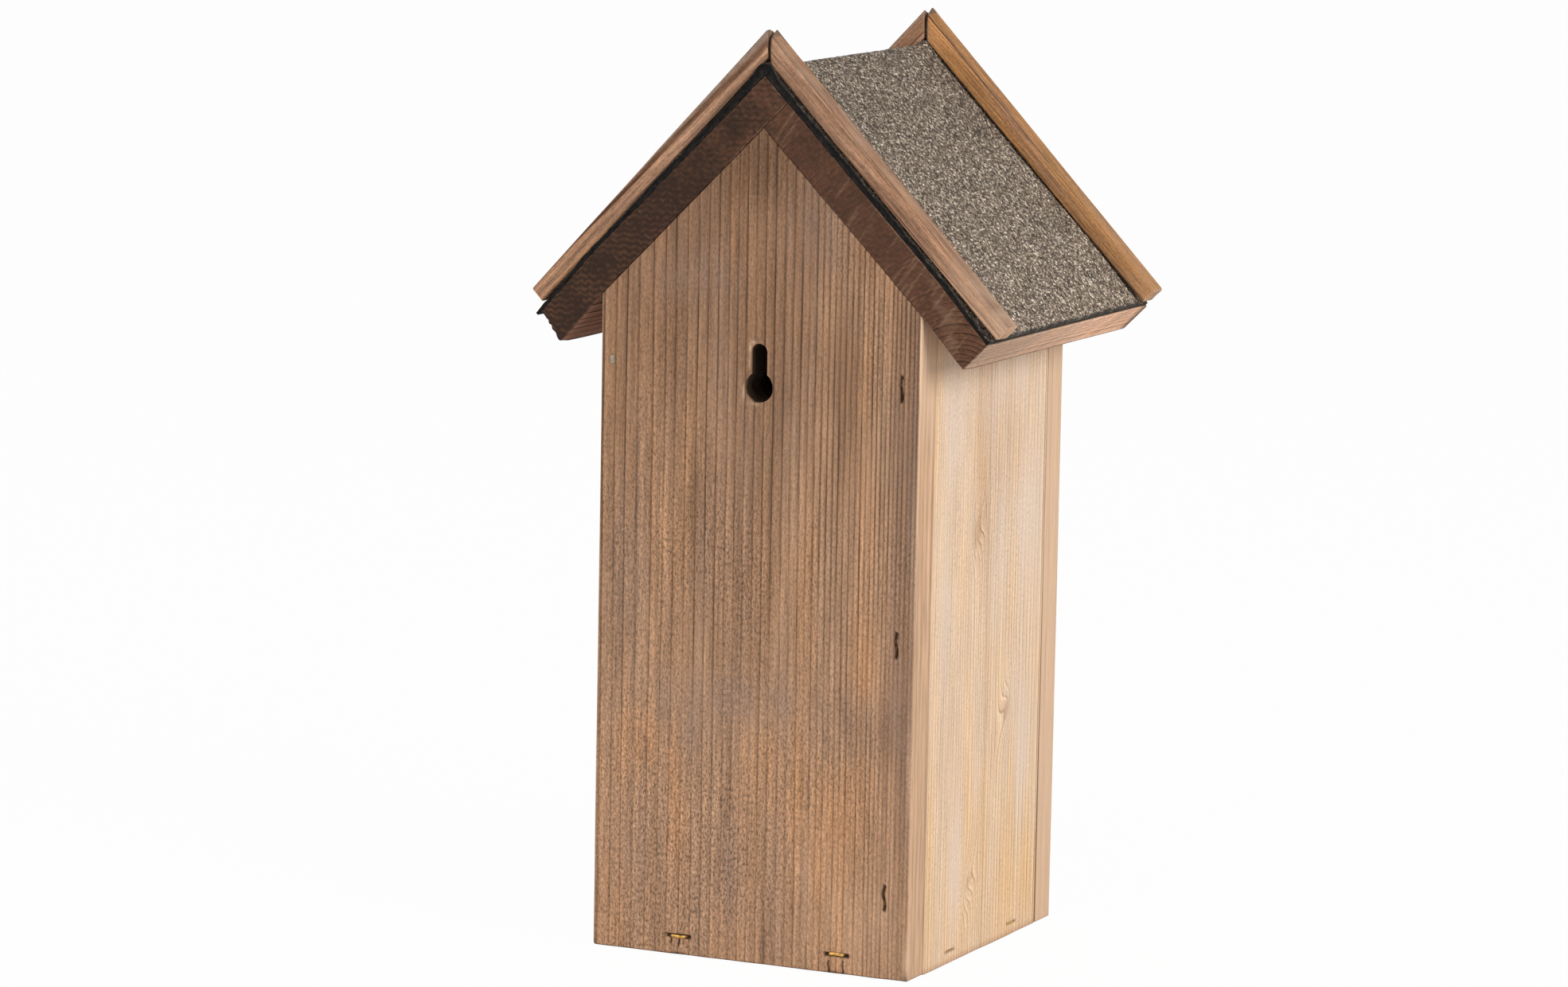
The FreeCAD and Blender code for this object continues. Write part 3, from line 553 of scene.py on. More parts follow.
# Fixed side wall: pale planed softwood, glued up from two strips, held between the gable panels.
# A few knots show, and a thin glue line runs down it.
side_wood = timber("side_wood", face=((219, 191, 163), (172, 136, 105), 1.25),
                   side=((212, 182, 152), (186, 146, 110), 0.8), end=((170, 130, 98), (120, 86, 62), 1.0),
                   fibre_spread=0.6, bump=0.2, dark=(0.80, 0.72, 0.65), warm=(1.02, 0.93, 0.76),
                   veil=(220, 199, 181), pale=(240, 220, 192))
WALL_EDGE = 0.5 * MM
wall_low, wall_high = (np.array(corner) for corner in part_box("left_wall"))
wall_knots = ((21.5, 168.8), (-10.5, 92.6), (23.7, 29.5))
GLUE_Y = 11 * MM
JOINT_GAP = 0.9 * MM
wall_staples = np.array([(40, 5), (-20, 5)]) * MM


def placed(points, faces, axes, origin=(0, 0, 0)):
    """World points of a board from its own axes, and its faces, turned outward if the axes mirror them."""
    if np.linalg.det(axes) < 0:
        faces = [face[::-1] for face in faces]
    return origin + points @ axes, faces


def wall_board(name, low, high, outward, seed, knots, stapled, veil_places, tone_places):
    """Upright side board with its grain along Z; outward is the X direction of its outer face."""
    lines = (grid_lines(low[1], high[1], WALL_EDGE, 0.9 * MM),
             grid_lines(low[0], high[0], WALL_EDGE, 3 * MM),
             grid_lines(low[2], high[2], WALL_EDGE, 4 * MM, (3 * MM, 7 * MM, 0.4 * MM),
                        *[(z * MM - 8 * MM, z * MM + 8 * MM, 1 * MM) for _, z in knots]))
    points, normals, faces = rounded_board(lines, WALL_EDGE)
    uneven = 0.08 * MM * (1 + drawn_noise(points, 14, 70, seed))
    points -= normals * uneven[:, None]
    shrunk = fade(points[:, 0], low[1] + 5 * MM, low[1]) * fade(points[:, 2], 0.2, 0.02)
    points[:, 0] += JOINT_GAP * shrunk
    axes = np.array([[0, 1, 0], [1, 0, 0], [0, 0, 1]])
    piece = make_piece(name, *placed(points, faces, axes), side_wood)
    smooth(piece)
    grown = board_points(piece, (0, 0, 0), axes)
    y, x, z = grown.T
    seam = GLUE_Y + 0.012 * (z - EAVE / 2)
    strip = y < seam
    ring = np.where(strip, ring_count(grown, (-70 * MM, outward * 40 * MM), 2.6 * MM, 0.8 * MM, seed),
                    ring_count(grown, (120 * MM, outward * 30 * MM), 2.2 * MM, 0.8 * MM, seed + 1))
    tone = patches(y, z, tone_places) + 0.6 * drawn_noise(grown, 9, 60, seed + 2)
    tone += 0.3 * soft_noise(grown, [2.2 * MM, 9 * MM, 110 * MM], seed + 3) + 0.45 * fade(z, 0.1, 0.0)
    veil = patches(y, z, veil_places) + 0.35 * drawn_noise(grown, 9, 34, seed + 4)
    knot = np.zeros(len(grown))
    for centre_y, centre_z in knots:
        lean = 0.35 * (z / MM - centre_z)
        reach = np.hypot(y / MM - centre_y + lean, (z / MM - centre_z) * 0.5)
        ring = ring + 2.6 * np.exp(-(reach / 6) ** 2)
        knot = np.maximum(knot, np.exp(-(reach / 2.6) ** 2))
    glue = np.exp(-((y - seam) / (0.45 * MM)) ** 2) * (0.4 + 0.6 * fade(z, 0.2, 0.12))
    outside = fade(outward * x, PANEL_HALF - 1 * MM, PANEL_HALF - 0.5 * MM)
    pressed_in = slits(y, z, stapled, STAPLE_HALF + 0.3 * MM, 0.5 * MM) * outside
    side = fade(np.maximum(low[1] - y, y - high[1]), -0.6 * MM, -0.3 * MM)
    end = fade(np.maximum(low[2] - z, z - high[2]), -0.7 * MM, -0.3 * MM)
    fuzz = 0.2 + 0.1 * drawn_noise(grown, 20, 40, seed + 5)
    paint_points(piece, ring=ring, board=grown, tone=tone - 1.6 * knot, veil=np.clip(veil, 0, 1),
                 fuzz=fuzz, side=side, end=end, stain=0.3 * glue + 0.42 * pressed_in)
    return piece


fixed_wall = wall_board(
    "fixed_wall_board", wall_low, wall_high, -1, 61, wall_knots, wall_staples,
    veil_places=((45, 211, 13, 30, 0.8), (-23, 171, 16, 26, 0.8), (36, 37, 8, 24, 0.6),
                 (-30, 79, 12, 24, 0.5), (52, 150, 5, 40, 0.4), (0, 225, 40, 16, 0.4)),
    tone_places=((63, 200, 4, 90, 0.7), (-50, 204, 3, 30, 0.6), (30, 150, 8, 40, 0.3),
                 (18, 53, 13, 26, 0.6), (-34, 24, 18, 20, 0.7), (60, 60, 5, 60, 0.4), (26, 168, 3, 10, -0.8),
                 (12, 120, 5, 50, -0.25), (0, 190, 50, 30, -0.35), (40, 226, 30, 24, -0.2)))
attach(fixed_wall, "box")
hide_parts("left_wall")

# Cleaning door: the other side wall, on two nails near its top, so that it swings out at the bottom.
# It is a little smaller all round than the opening between the gable panels.
door_low, door_high = (np.array(corner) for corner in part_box("side_door"))
door = wall_board("door_board", door_low, door_high, 1, 81, ((-10, 170), (20, 60)), (),
                  veil_places=((-25, 150, 9, 80, 0.3),), tone_places=((40, 120, 8, 90, 0.4),))
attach(door, "door")
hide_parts("side_door")

# Floor: board between the walls, flush with their lower edges and stapled to them.
# Four drilled holes near its corners let water out.
floor_low, floor_high = (np.array(corner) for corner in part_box("floor_panel"))
floor_lines = [grid_lines(floor_low[axis], floor_high[axis], WALL_EDGE, step * MM)
               for axis, step in ((0, 1.5), (2, 3), (1, 5))]
points, normals, faces = rounded_board(floor_lines, WALL_EDGE)
points -= normals * (0.08 * MM * (1 + drawn_noise(points, 12, 60, 91)))[:, None]
floor_axes = np.array([[1, 0, 0], [0, 0, 1], [0, 1, 0]])
floor_board = make_piece("floor_board", *placed(points, faces, floor_axes), side_wood)
DRAIN_R = 4 * MM
DRAIN_INSET = 18 * MM
for drain_x in (floor_low[0] + DRAIN_INSET, floor_high[0] - DRAIN_INSET):
    for drain_y in (floor_low[1] + DRAIN_INSET, floor_high[1] - DRAIN_INSET):
        drain = round_outline(DRAIN_R, 32) + [drain_x, drain_y]
        cut_away(floor_board, *prism(drain, 2, np.linspace(-PANEL_THICK, 2 * PANEL_THICK, 16)))
smooth(floor_board)
grown = board_points(floor_board, (0, 0, 0), floor_axes)
paint_points(floor_board, ring=ring_count(grown, (-90 * MM, -30 * MM), 2.4 * MM, 0.7 * MM, 92), board=grown,
             tone=0.6 * drawn_noise(grown, 8, 90, 93), fuzz=np.full(len(grown), 0.15),
             end=fade(np.abs(grown[:, 2] - 10 * MM), 54.3 * MM, 54.7 * MM))
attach(floor_board, "box")
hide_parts("floor_panel")

# Roof boards: two sawn boards on the gables, their grain along the ridge. The right one runs over the
# ridge and the left one butts under it. Their gable ends drank the brown stain and turned very dark.
ROOF_PITCH = math.radians(45)
ROOF_THICK = 14 * MM
ROOF_SLOPE = 122.5 * MM
ROOF_HALF = 80 * MM
ROOF_EDGE = 0.4 * MM
STROKE_LEAN = 0.7
SAW_STEP = 2.4
SCALLOP = 4.6
ridge_origin = np.array([0, 0, APEX])
# Its side colours serve the boards' undersides, painted darker as shade under the roof.
roof_wood = timber("roof_wood", face=((222, 181, 153), (168, 122, 95), 1.2),
                   side=((132, 94, 75), (70, 44, 32), 1.9), end=((94, 62, 44), (50, 30, 20), 1.9),
                   fibre_spread=1.1, bump=0.6, dark=(0.6, 0.55, 0.5), warm=(1.1, 1.0, 0.85),
                   veil=(150, 130, 114), pale=(196, 158, 128))


def slope_axes(side):
    """World directions down a slope, square out of it, and along the ridge."""
    return np.array([[side * math.cos(ROOF_PITCH), 0, -math.sin(ROOF_PITCH)],
                     [side * math.sin(ROOF_PITCH), 0, math.cos(ROOF_PITCH)], [0, 1, 0]])


def eave_droop(run):
    """How far the roof has sunk past the walls, at a distance from the ridge."""
    return 1.5 * MM * fade(run, 86 * MM, 124 * MM)


def saw_marks(level, seed):
    """Ripples that the saw left across a board's end: 0 in their hollows, 1 on their crests.

    They lie SAW_STEP millimetres apart, and each waves once in a SCALLOP of its length.
    """
    slip = 2.5 * soft_noise(level, [9 * MM, 400 * MM, 7 * MM], seed)
    scallop = np.sin(level[:, 0] / MM * 2 * math.pi / SCALLOP + slip)
    swing = level[:, 2] / MM + 0.4 * scallop + 0.4 * soft_noise(level, [4 * MM, 400 * MM, 4 * MM], seed + 9)
    broken = 0.6 + 0.5 * soft_noise(level, [4 * MM, 400 * MM, 2.4 * MM], seed + 7)
    waves = broken * np.sin(swing * 2 * math.pi / SAW_STEP)
    waves = waves + 0.45 * soft_noise(level, [1.2 * MM, 400 * MM, 1.2 * MM], seed + 10)
    return fade(waves, -0.8, 0.9)


def roof_board(name, side, top, eave, slant, pith, seed, ripple, faint, scratches, soot):
    """Roof board from top to eave along the slope from the ridge; slant is how its eave edge leans.

    Its ends carry the saw's ripple, pale scratches across the board, and rings made faint and soot, both of
    (ridge, eave) amounts. Saw strokes slant across its eave edge, which greys towards the back.
    """
    lines = (grid_lines(top, eave, ROOF_EDGE, 0.55 * MM), grid_lines(0, ROOF_THICK, ROOF_EDGE, 0.55 * MM),
             grid_lines(-ROOF_HALF, ROOF_HALF, ROOF_EDGE, 8 * MM, (76 * MM, 79.6 * MM, 1.2 * MM)))
    points, normals, faces = rounded_board(lines, ROOF_EDGE)
    run, out, along = points.T
    on_edge = np.clip(4 * (1 - np.max(np.abs(normals), axis=1)), 0, 1)
    axes = slope_axes(side)
    level = ridge_origin + points @ axes
    saw = saw_marks(level, seed)
    at_end = fade(np.abs(along), ROOF_HALF - 0.6 * MM, ROOF_HALF - 0.1 * MM)
    rough = 0.12 * MM * (1 + drawn_noise(points, 4, 30, seed + 1))
    points -= normals * (rough + ripple * at_end * (1 - saw))[:, None]
    near_eave = fade(run, eave - 3 * MM, eave) * fade(along, 70 * MM, 80 * MM)
    run -= near_eave * (0.4 * MM + ripple * (1 + 2.6 * saw))
    run -= slant * out * fade(run, eave - 12 * MM, eave)
    out -= eave_droop(run)
    piece = make_piece(name, *placed(points, faces, axes, ridge_origin), roof_wood)
    smooth(piece)
    grown = board_points(piece, ridge_origin, axes)
    run, out, along = grown.T
    out += eave_droop(run)
    end = fade(np.abs(along), ROOF_HALF - 1.1 * MM, ROOF_HALF - 0.7 * MM)
    sawn = fade(run + slant * out, eave - 1.3 * MM, eave - 0.8 * MM)
    strokes = grown.copy()
    strokes[:, 1] += STROKE_LEAN * along * sawn
    blurred = faint[0] + (faint[1] - faint[0]) * fade(run, 90 * MM, 112 * MM)
    leaning = grown + 0.15 * grown[:, [1, 0, 2]]
    scratch = scratches * fade(soft_noise(leaning, [0.8 * MM, 12 * MM, 1], seed + 4), 0.35, 0.85)
    soot_here = soot[0] + (soot[1] - soot[0]) * fade(run, 30 * MM, ROOF_SLOPE)
    clouds = 1 + 0.7 * drawn_noise(grown, 9, 60, seed + 5)
    clouds = soot_here * (clouds + 0.6 * drawn_noise(grown, 1.2, 60, seed + 11))
    # Painted shade: the saw ripple's hollows on the ends are painted darker, more so where the ripple is
    # deeper.
    hollows = ripple / MM * 2.6 * (1 - saw) * (0.35 + 0.65 * fade(run, 30 * MM, 75 * MM))
    rubbed = 0.16 * fade(soft_noise(grown, [7 * MM, 4 * MM, 60 * MM], seed + 8), 0.1, 0.9)
    rubbed = rubbed * fade(soot_here, 0.3, 0.0)
    chafed = on_edge * fade(drawn_noise(grown, 14, 60, seed + 6), -0.3, 0.5)
    paint_points(piece, ring=ring_count(grown, pith, 2.3 * MM, 0.5 * MM, seed + 2), board=strokes,
                 veil=0.7 * fade(along, -40 * MM, ROOF_HALF), faint=blurred * end,
                 tone=0.4 * drawn_noise(grown, 10, 60, seed + 3), fuzz=np.full(len(grown), 0.4),
                 # Painted shade: the underside takes the darker side colours.
                 side=1 - fade(out, 0.4 * MM, 0.9 * MM), end=end,
                 worn=np.clip(0.5 * chafed + (scratch + rubbed) * end, 0, 1),
                 stain=np.clip((clouds + hollows) * end * (1 - on_edge), 0, 0.85))
    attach(piece, "box")
    return piece


right_roof = roof_board("right_roof_timber", 1, -ROOF_THICK, ROOF_SLOPE + 1.8 * MM, 0.17,
                        (60 * MM, -60 * MM), 101, 0.28 * MM, (0.8, 0.8), 0.05, (0.48, 0.42))
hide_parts("right_roof_board")
left_roof = roof_board("left_roof_timber", -1, 0, ROOF_SLOPE, 0.0, (128 * MM, -6 * MM),
                       121, 0.08 * MM, (0.75, 0.1), 0.2, (0.36, 0.0))
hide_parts("left_roof_board")

# Roofing felt: one sheet of bitumen felt with a face of mineral granules, bent over the ridge.
# Its cut edges show the black bitumen.
FELT_THICK = 3.5 * MM
FELT_STEP = 0.75 * MM
FELT_RISE = 0.35 * MM
felt, tree, shader = new_material("felt_granules")
shader.inputs["Specular IOR Level"].default_value = 0.15
sheet = attribute(tree, "board", vector=True)
grain = node(tree, "ShaderNodeTexVoronoi", {"Vector": sheet, "Scale": 1080.0, "Randomness": 1.0})
grit = node(tree, "ShaderNodeTexVoronoi", {"Vector": sheet, "Scale": 2500.0, "Randomness": 1.0})
stone = node(tree, "ShaderNodeSeparateColor", {0: grain.outputs["Color"]}).outputs
chip = node(tree, "ShaderNodeSeparateColor", {0: grit.outputs["Color"]}).outputs
stones = steps(tree, stone[0], (0.0, colour(66, 55, 46)), (0.3, colour(114, 98, 84)),
               (0.6, colour(160, 140, 120)), (0.8, colour(216, 199, 177)), (1.0, colour(250, 238, 220)))
chips = steps(tree, chip[0], (0.0, colour(46, 40, 35)), (0.5, colour(126, 109, 94)),
              (1.0, colour(230, 214, 192)))
mixed = blend(tree, maths(tree, "GREATER_THAN", stone[1], 0.62), stones, chips)
gaps = steps(tree, grain.outputs["Distance"], (0.35, 0.0), (0.7, 1.0))
mixed = blend(tree, maths(tree, "MULTIPLY", gaps, 0.75), mixed, colour(44, 38, 35))
mixed = shaded(tree, mixed, attribute(tree, "shade"))
crust = steps(tree, grain_noise(tree, sheet, 420, 420), (0.35, 0.0), (0.7, 1.0))
bitumen = blend(tree, crust, colour(3, 3, 3), colour(46, 41, 38))
# Painted shadow: the felt's rim turns nearly black under the battens.
bitumen = blend(tree, attribute(tree, "gap"), bitumen, colour(2, 2, 2))
tree.links.new(blend(tree, attribute(tree, "edge"), mixed, bitumen), shader.inputs["Base Color"])
tree.links.new(steps(tree, stone[2], (0.0, 0.6), (1.0, 0.9)), shader.inputs["Roughness"])
lumps = maths(tree, "SUBTRACT", 1.0, grain.outputs["Distance"])
lumps = maths(tree, "MULTIPLY_ADD", maths(tree, "SUBTRACT", 1.0, grit.outputs["Distance"]), 0.4, lumps)
relief = node(tree, "ShaderNodeBump", {"Height": lumps, "Strength": 0.7, "Distance": 0.7 * MM})
tree.links.new(relief.outputs[0], shader.inputs["Normal"])

felt_ends = {1: ROOF_SLOPE + 1.0 * MM, -1: ROOF_SLOPE - 0.8 * MM}
bend = np.linspace(ROOF_PITCH, -ROOF_PITCH, 9)[1:-1]
ridge_corner = ridge_origin + [0, 0, ROOF_THICK / math.cos(ROOF_PITCH)]
section, lean, under = [], [], []
for side, felt_end in felt_ends.items():
    down, out = slope_axes(side)[:2]
    run = np.linspace(felt_end, -ROOF_THICK, round((felt_end + ROOF_THICK) / FELT_STEP))[::side]
    section += [ridge_origin + s * down + (ROOF_THICK + FELT_THICK - eave_droop(s)) * out for s in run]
    under += [ridge_origin + s * down + (ROOF_THICK - eave_droop(s)) * out for s in run]
    lean += [out] * len(run)
    if side == 1:
        turned = [np.array([math.sin(a), 0, math.cos(a)]) for a in bend]
        section += [ridge_corner + FELT_THICK * out for out in turned]
        under += [ridge_corner] * len(turned)
        lean += turned
section, lean, under = np.array(section), np.array(lean), np.array(under)
depth = np.linspace(-ROOF_HALF, ROOF_HALF, round(2 * ROOF_HALF / FELT_STEP))
rows, columns = len(section), len(depth)
top = np.repeat(section, columns, axis=0)
top[:, 1] = np.tile(depth, rows)
run_along = np.concatenate([[0], np.cumsum(np.linalg.norm(np.diff(section, axis=0), axis=1))])
flat = np.column_stack([np.repeat(run_along, columns), np.zeros(rows * columns), top[:, 1]])
lumpy = 0.5 + 0.5 * soft_noise(flat, 1.2 * MM, 131)
lumpy = lumpy + 0.5 + 0.5 * soft_noise(flat, 2.6 * MM, 132)
from_middle = np.abs(flat[:, 2])
rim = fade(from_middle, ROOF_HALF - 1.0 * MM, ROOF_HALF)
sag = 0.4 + 0.6 * soft_noise(flat, [6 * MM, 1, 6 * MM], 136)
from_ridge = np.abs(flat[:, 0] - run_along[-1] / 2)
under_batten = fade(from_middle, ROOF_HALF - 14 * MM, ROOF_HALF - 11 * MM)
pressed = 1.5 * MM * from_ridge / ROOF_SLOPE - 1.6 * MM * np.exp(-(from_ridge / (7 * MM)) ** 2)
pressed = pressed * under_batten
lowered = FELT_RISE * (0.2 + lumpy * 0.7) + sag * MM * rim + pressed
top -= np.repeat(lean, columns, axis=0) * lowered[:, None]
ragged = 0.5 * MM * (1 + soft_noise(flat, [3 * MM, 1, 3 * MM], 133))
top[:, 1] -= np.sign(top[:, 1]) * ragged * rim
low_back, low_front = under.copy(), under.copy()
wobble = 0.3 * MM * (1 + soft_noise(run_along[:, None] * [1, 0, 0], 3 * MM, 134))
low_back[:, 1] = ROOF_HALF - wobble
low_front[:, 1] = -ROOF_HALF + wobble
felt_points = np.concatenate([top, low_front, low_back])
first_low = rows * columns
faces = []
for i in range(rows - 1):
    row = i * columns
    faces += [[row + j, row + j + 1, row + columns + j + 1, row + columns + j] for j in range(columns - 1)]
    front, back = first_low + i, first_low + rows + i
    faces.append([row, row + columns, front + 1, front])
    faces.append([row + columns - 1, back, back + 1, row + 2 * columns - 1])
    faces.append([front, front + 1, back + 1, back])
faces.append([*range(columns - 1, -1, -1), first_low, first_low + rows])
last = (rows - 1) * columns
faces.append([*range(last, last + columns), first_low + 2 * rows - 1, first_low + rows - 1])
felt_sheet = make_piece("felt_sheet", felt_points, faces, felt)
smooth(felt_sheet, 60)
low_flat = np.column_stack([run_along, np.full(rows, FELT_THICK), np.zeros(rows)])
grown = np.concatenate([flat, low_flat - [0, 0, ROOF_HALF], low_flat + [0, 0, ROOF_HALF]])
# The felt's top near its gable ends takes the bitumen colour: partly bare bitumen, partly painted shadow
# under the battens.
bare_and_shaded_rim = from_middle + 0.8 * MM * soft_noise(flat, 2 * MM, 135)
bare_and_shaded_rim = 0.88 * fade(bare_and_shaded_rim, ROOF_HALF - 4.5 * MM, ROOF_HALF - 1.8 * MM)
cut = fade(from_middle, ROOF_HALF - 0.7 * MM, ROOF_HALF - 0.2 * MM)
from_eave = run_along[-1] / 2 - from_ridge + 0.4 * MM * soft_noise(flat, 2.5 * MM, 137)
hem = 0.85 * fade(from_eave, 0.8 * MM, 0.1 * MM)
edge = np.concatenate([np.maximum.reduce([bare_and_shaded_rim, cut, hem]), np.ones(2 * rows)])
# Painted light and shade: the granules are darker at the ridge and lighter towards the eaves.
slope_light_and_shade = 0.9 + 0.24 * from_ridge / ROOF_SLOPE
# Painted shadow along the felt's rim, under the battens' outer faces.
paint_points(felt_sheet, board=grown, edge=edge, gap=np.concatenate([0.9 * cut, np.zeros(2 * rows)]),
             shade=np.concatenate([slope_light_and_shade, np.ones(2 * rows)]))
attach(felt_sheet, "box")
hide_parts("roof_felt")

# Verge battens: four slim brushed strips with worn edges, pinned through the felt along the gables.
# They thicken towards the ridge, where each pair meets in an open upright mitre, cut a little askew.
batten_wood = timber("batten_wood", face=((160, 122, 96), (92, 61, 43), 1.3),
                     side=((186, 140, 100), (110, 72, 48), 1.6), end=((184, 144, 112), (124, 90, 66), 0.9),
                     fibre_spread=1.9, bump=0.6, dark=(0.62, 0.60, 0.60), warm=(1.2, 1.06, 0.68),
                     veil=(150, 134, 122), pale=(214, 184, 158))
BATTEN_LOW = ROOF_THICK + FELT_THICK
BATTEN_THICK = 8 * MM
BATTEN_EDGE = 0.8 * MM
RIDGE_TOP = cad_box[1][2] - 0.1 * MM
TIP_WEAR = 0.5 * MM
MITRE_GAP = 0.8 * MM
MITRE_OFFSET = 1.2 * MM
MITRE_SKEW = 0.24


def verge_batten(node_name, side, seed, lower_end, lift, droop, warmth, grey_top, pale_top, pale_tip):
    """Batten that stands for a node, lifted off the felt at the ridge and sunk into it at the eave.

    Warmth is its tone. Its top edge is greyed or chafed pale, and its lower tip can be pale too.
    """
    low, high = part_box(node_name)
    axes = slope_axes(side)[[2, 1, 0]]
    middle = BATTEN_LOW + BATTEN_THICK / 2
    start = (MITRE_GAP / 2 - side * MITRE_OFFSET) / math.cos(ROOF_PITCH) - middle
    lines = (grid_lines(low.y, high.y, BATTEN_EDGE, 0.8 * MM),
             grid_lines(BATTEN_LOW, BATTEN_LOW + BATTEN_THICK, BATTEN_EDGE, 0.8 * MM),
             grid_lines(start, lower_end, BATTEN_EDGE, 2 * MM, (start, start + 8 * MM, 0.8 * MM)))
    points, normals, faces = rounded_board(lines, BATTEN_EDGE)
    across, out, run = points.T
    on_edge = 1 - np.max(np.abs(normals), axis=1)
    worn = 0.5 + 0.5 * drawn_noise(points, 6, 14, seed)
    worn = worn * fade(run, start + 2 * MM, start + 9 * MM)
    rough = 0.1 * MM * (1 + drawn_noise(points, 3, 30, seed + 1))
    points -= normals * (rough + on_edge * worn * 1.2 * MM)[:, None]
    down = np.clip((run - start) / (lower_end - start), 0, 1)
    mitred = np.clip(1 - (run - start) / (60 * MM), 0, 1)
    askew = side * MITRE_SKEW * (high.y - across)
    thinned = (out - BATTEN_LOW) * (1.02 - 0.14 * down)
    out[:] = BATTEN_LOW + thinned + lift * (1 - down) - droop * down
    run += (askew / math.cos(ROOF_PITCH) - (out - middle)) * mitred
    bowed = 0.5 * MM * np.sin((out - BATTEN_LOW) / BATTEN_THICK * math.pi) * side
    run += bowed * fade(run, start + 12 * MM, start - 4 * MM)
    points, faces = placed(points, faces, axes, ridge_origin)
    over = np.maximum(points[:, 2] - RIDGE_TOP + TIP_WEAR, 0)
    points[:, 2] -= over - TIP_WEAR * (1 - np.exp(-over / TIP_WEAR))
    piece = make_piece(node_name + "_strip", points, faces, batten_wood)
    smooth(piece)
    grown = board_points(piece, ridge_origin, axes)
    out, run = grown.T[1:]
    cut = fade(run, lower_end - 0.9 * MM, lower_end - 0.4 * MM)
    mitre = 1 - fade(run + (out - middle), start + 0.5 * MM, start + 1.0 * MM)
    top = BATTEN_LOW + BATTEN_THICK
    wander = 0.6 * MM * drawn_noise(grown, 4, 18, seed + 4)
    on_top = fade(out + wander, top - 2.0 * MM, top - 0.9 * MM)
    streaks = 0.7 * drawn_noise(grown, 1.6, 45, seed + 3)
    streaks += 0.5 * drawn_noise(grown, 4, 30, seed + 5)
    ring = ring_count(grown, (low.y - 30 * MM, 30 * MM), 1.9 * MM, 0.6 * MM, seed + 2)
    chafed = pale_top * on_top * (0.6 + soft_noise(grown, 5 * MM, seed + 6))
    tip = fade(run, 70 * MM, lower_end) * (0.8 + 0.5 * soft_noise(grown, 4 * MM, seed + 7))
    chafed += pale_tip * tip
    paint_points(piece, ring=ring, board=grown, tone=warmth + streaks - 0.25 * grey_top * on_top,
                 veil=grey_top * on_top, fuzz=np.full(len(grown), 0.35), end=np.maximum(cut, mitre),
                 # Painted shade: the mitre faces are darkened, as shade in the open mitre.
                 worn=np.clip(chafed, 0, 1), stain=0.6 * mitre)
    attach(piece, "box")
    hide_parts(node_name)


verge_batten("back_right_batten", 1, 141, 119.2 * MM, 1.0 * MM, 2.3 * MM, -0.25, 0.5, 0.0, 0.0)
verge_batten("back_left_batten", -1, 151, 122.8 * MM, 0.3 * MM, 1.7 * MM, -0.15, 0.0, 0.15, 0.4)
verge_batten("front_right_batten", 1, 161, 122.5 * MM, 0.3 * MM, 2.0 * MM, 0.0, 0.4, 0.0, 0.0)
verge_batten("front_left_batten", -1, 171, 122.5 * MM, 0.8 * MM, 1.5 * MM, 0.95, 0.0, 0.0, 0.12)

# Staples: coated flat wire, driven a little below the wood, with a golden crown and rusty corners.
# Those under the felt keep their plain solids.
WIRE_HALF_WIDTH = 0.6 * MM
WIRE_HALF_DEPTH = 0.45 * MM
STAPLE_LEG = 24 * MM
STAPLE_BEND = 0.9 * MM


def metal(name, bright, dull, rust, roughness, spread):
    """Bare wire with dull patches and rust where the wear layer is high."""
    material, tree, shader = new_material(name)
    shader.inputs["Metallic"].default_value = 0.85
    place = node(tree, "ShaderNodeTexCoord").outputs["Object"]
    cloud = node(tree, "ShaderNodeTexNoise", {"Vector": place, "Scale": 600.0, "Detail": 4.0}).outputs[0]
    shown = blend(tree, steps(tree, cloud, (0.35, 0.0), (0.65, 1.0)), colour(*bright), colour(*dull))
    patchy = maths(tree, "MULTIPLY_ADD", cloud, spread, -spread / 2)
    rusty = maths(tree, "ADD", attribute(tree, "wear"), patchy, clamp=True)
    shown = blend(tree, rusty, shown, colour(*rust))
    tree.links.new(shown, shader.inputs["Base Color"])
    tree.links.new(steps(tree, cloud, (0.3, roughness), (0.7, roughness + 0.25)), shader.inputs["Roughness"])
    relief = node(tree, "ShaderNodeBump", {"Height": cloud, "Strength": 0.2, "Distance": 0.1 * MM})
    tree.links.new(relief.outputs[0], shader.inputs["Normal"])
    return material


staple_wire = metal("staple_wire", (214, 168, 88), (150, 110, 58), (52, 32, 20), 0.35, 0.7)


def swept_wire(path, flat_way, half_width, half_depth, count=12):
    """Points and faces of a closed wire along a path; flat_way is the direction of its wide side."""
    path = np.asarray(path)
    ahead = np.gradient(path, axis=0)
    ahead /= np.linalg.norm(ahead, axis=1, keepdims=True)
    other = np.cross(ahead, flat_way)
    around = np.linspace(0, 2 * math.pi, count, endpoint=False)
    wide = np.sign(np.cos(around)) * np.abs(np.cos(around)) ** 0.5 * half_width
    deep = np.sign(np.sin(around)) * np.abs(np.sin(around)) ** 0.5 * half_depth
    points = path[:, None] + wide[None, :, None] * np.asarray(flat_way) + deep[None, :, None] * other[:, None]
    return points.reshape(-1, 3), ring_faces(len(path), count)


def joined(shapes):
    """Points and faces of several (points, faces) shapes as one."""
    points, faces = [], []
    for shape_points, shape_faces in shapes:
        faces += [[corner + sum(map(len, points)) for corner in face] for face in shape_faces]
        points.append(shape_points)
    return np.concatenate(points), faces


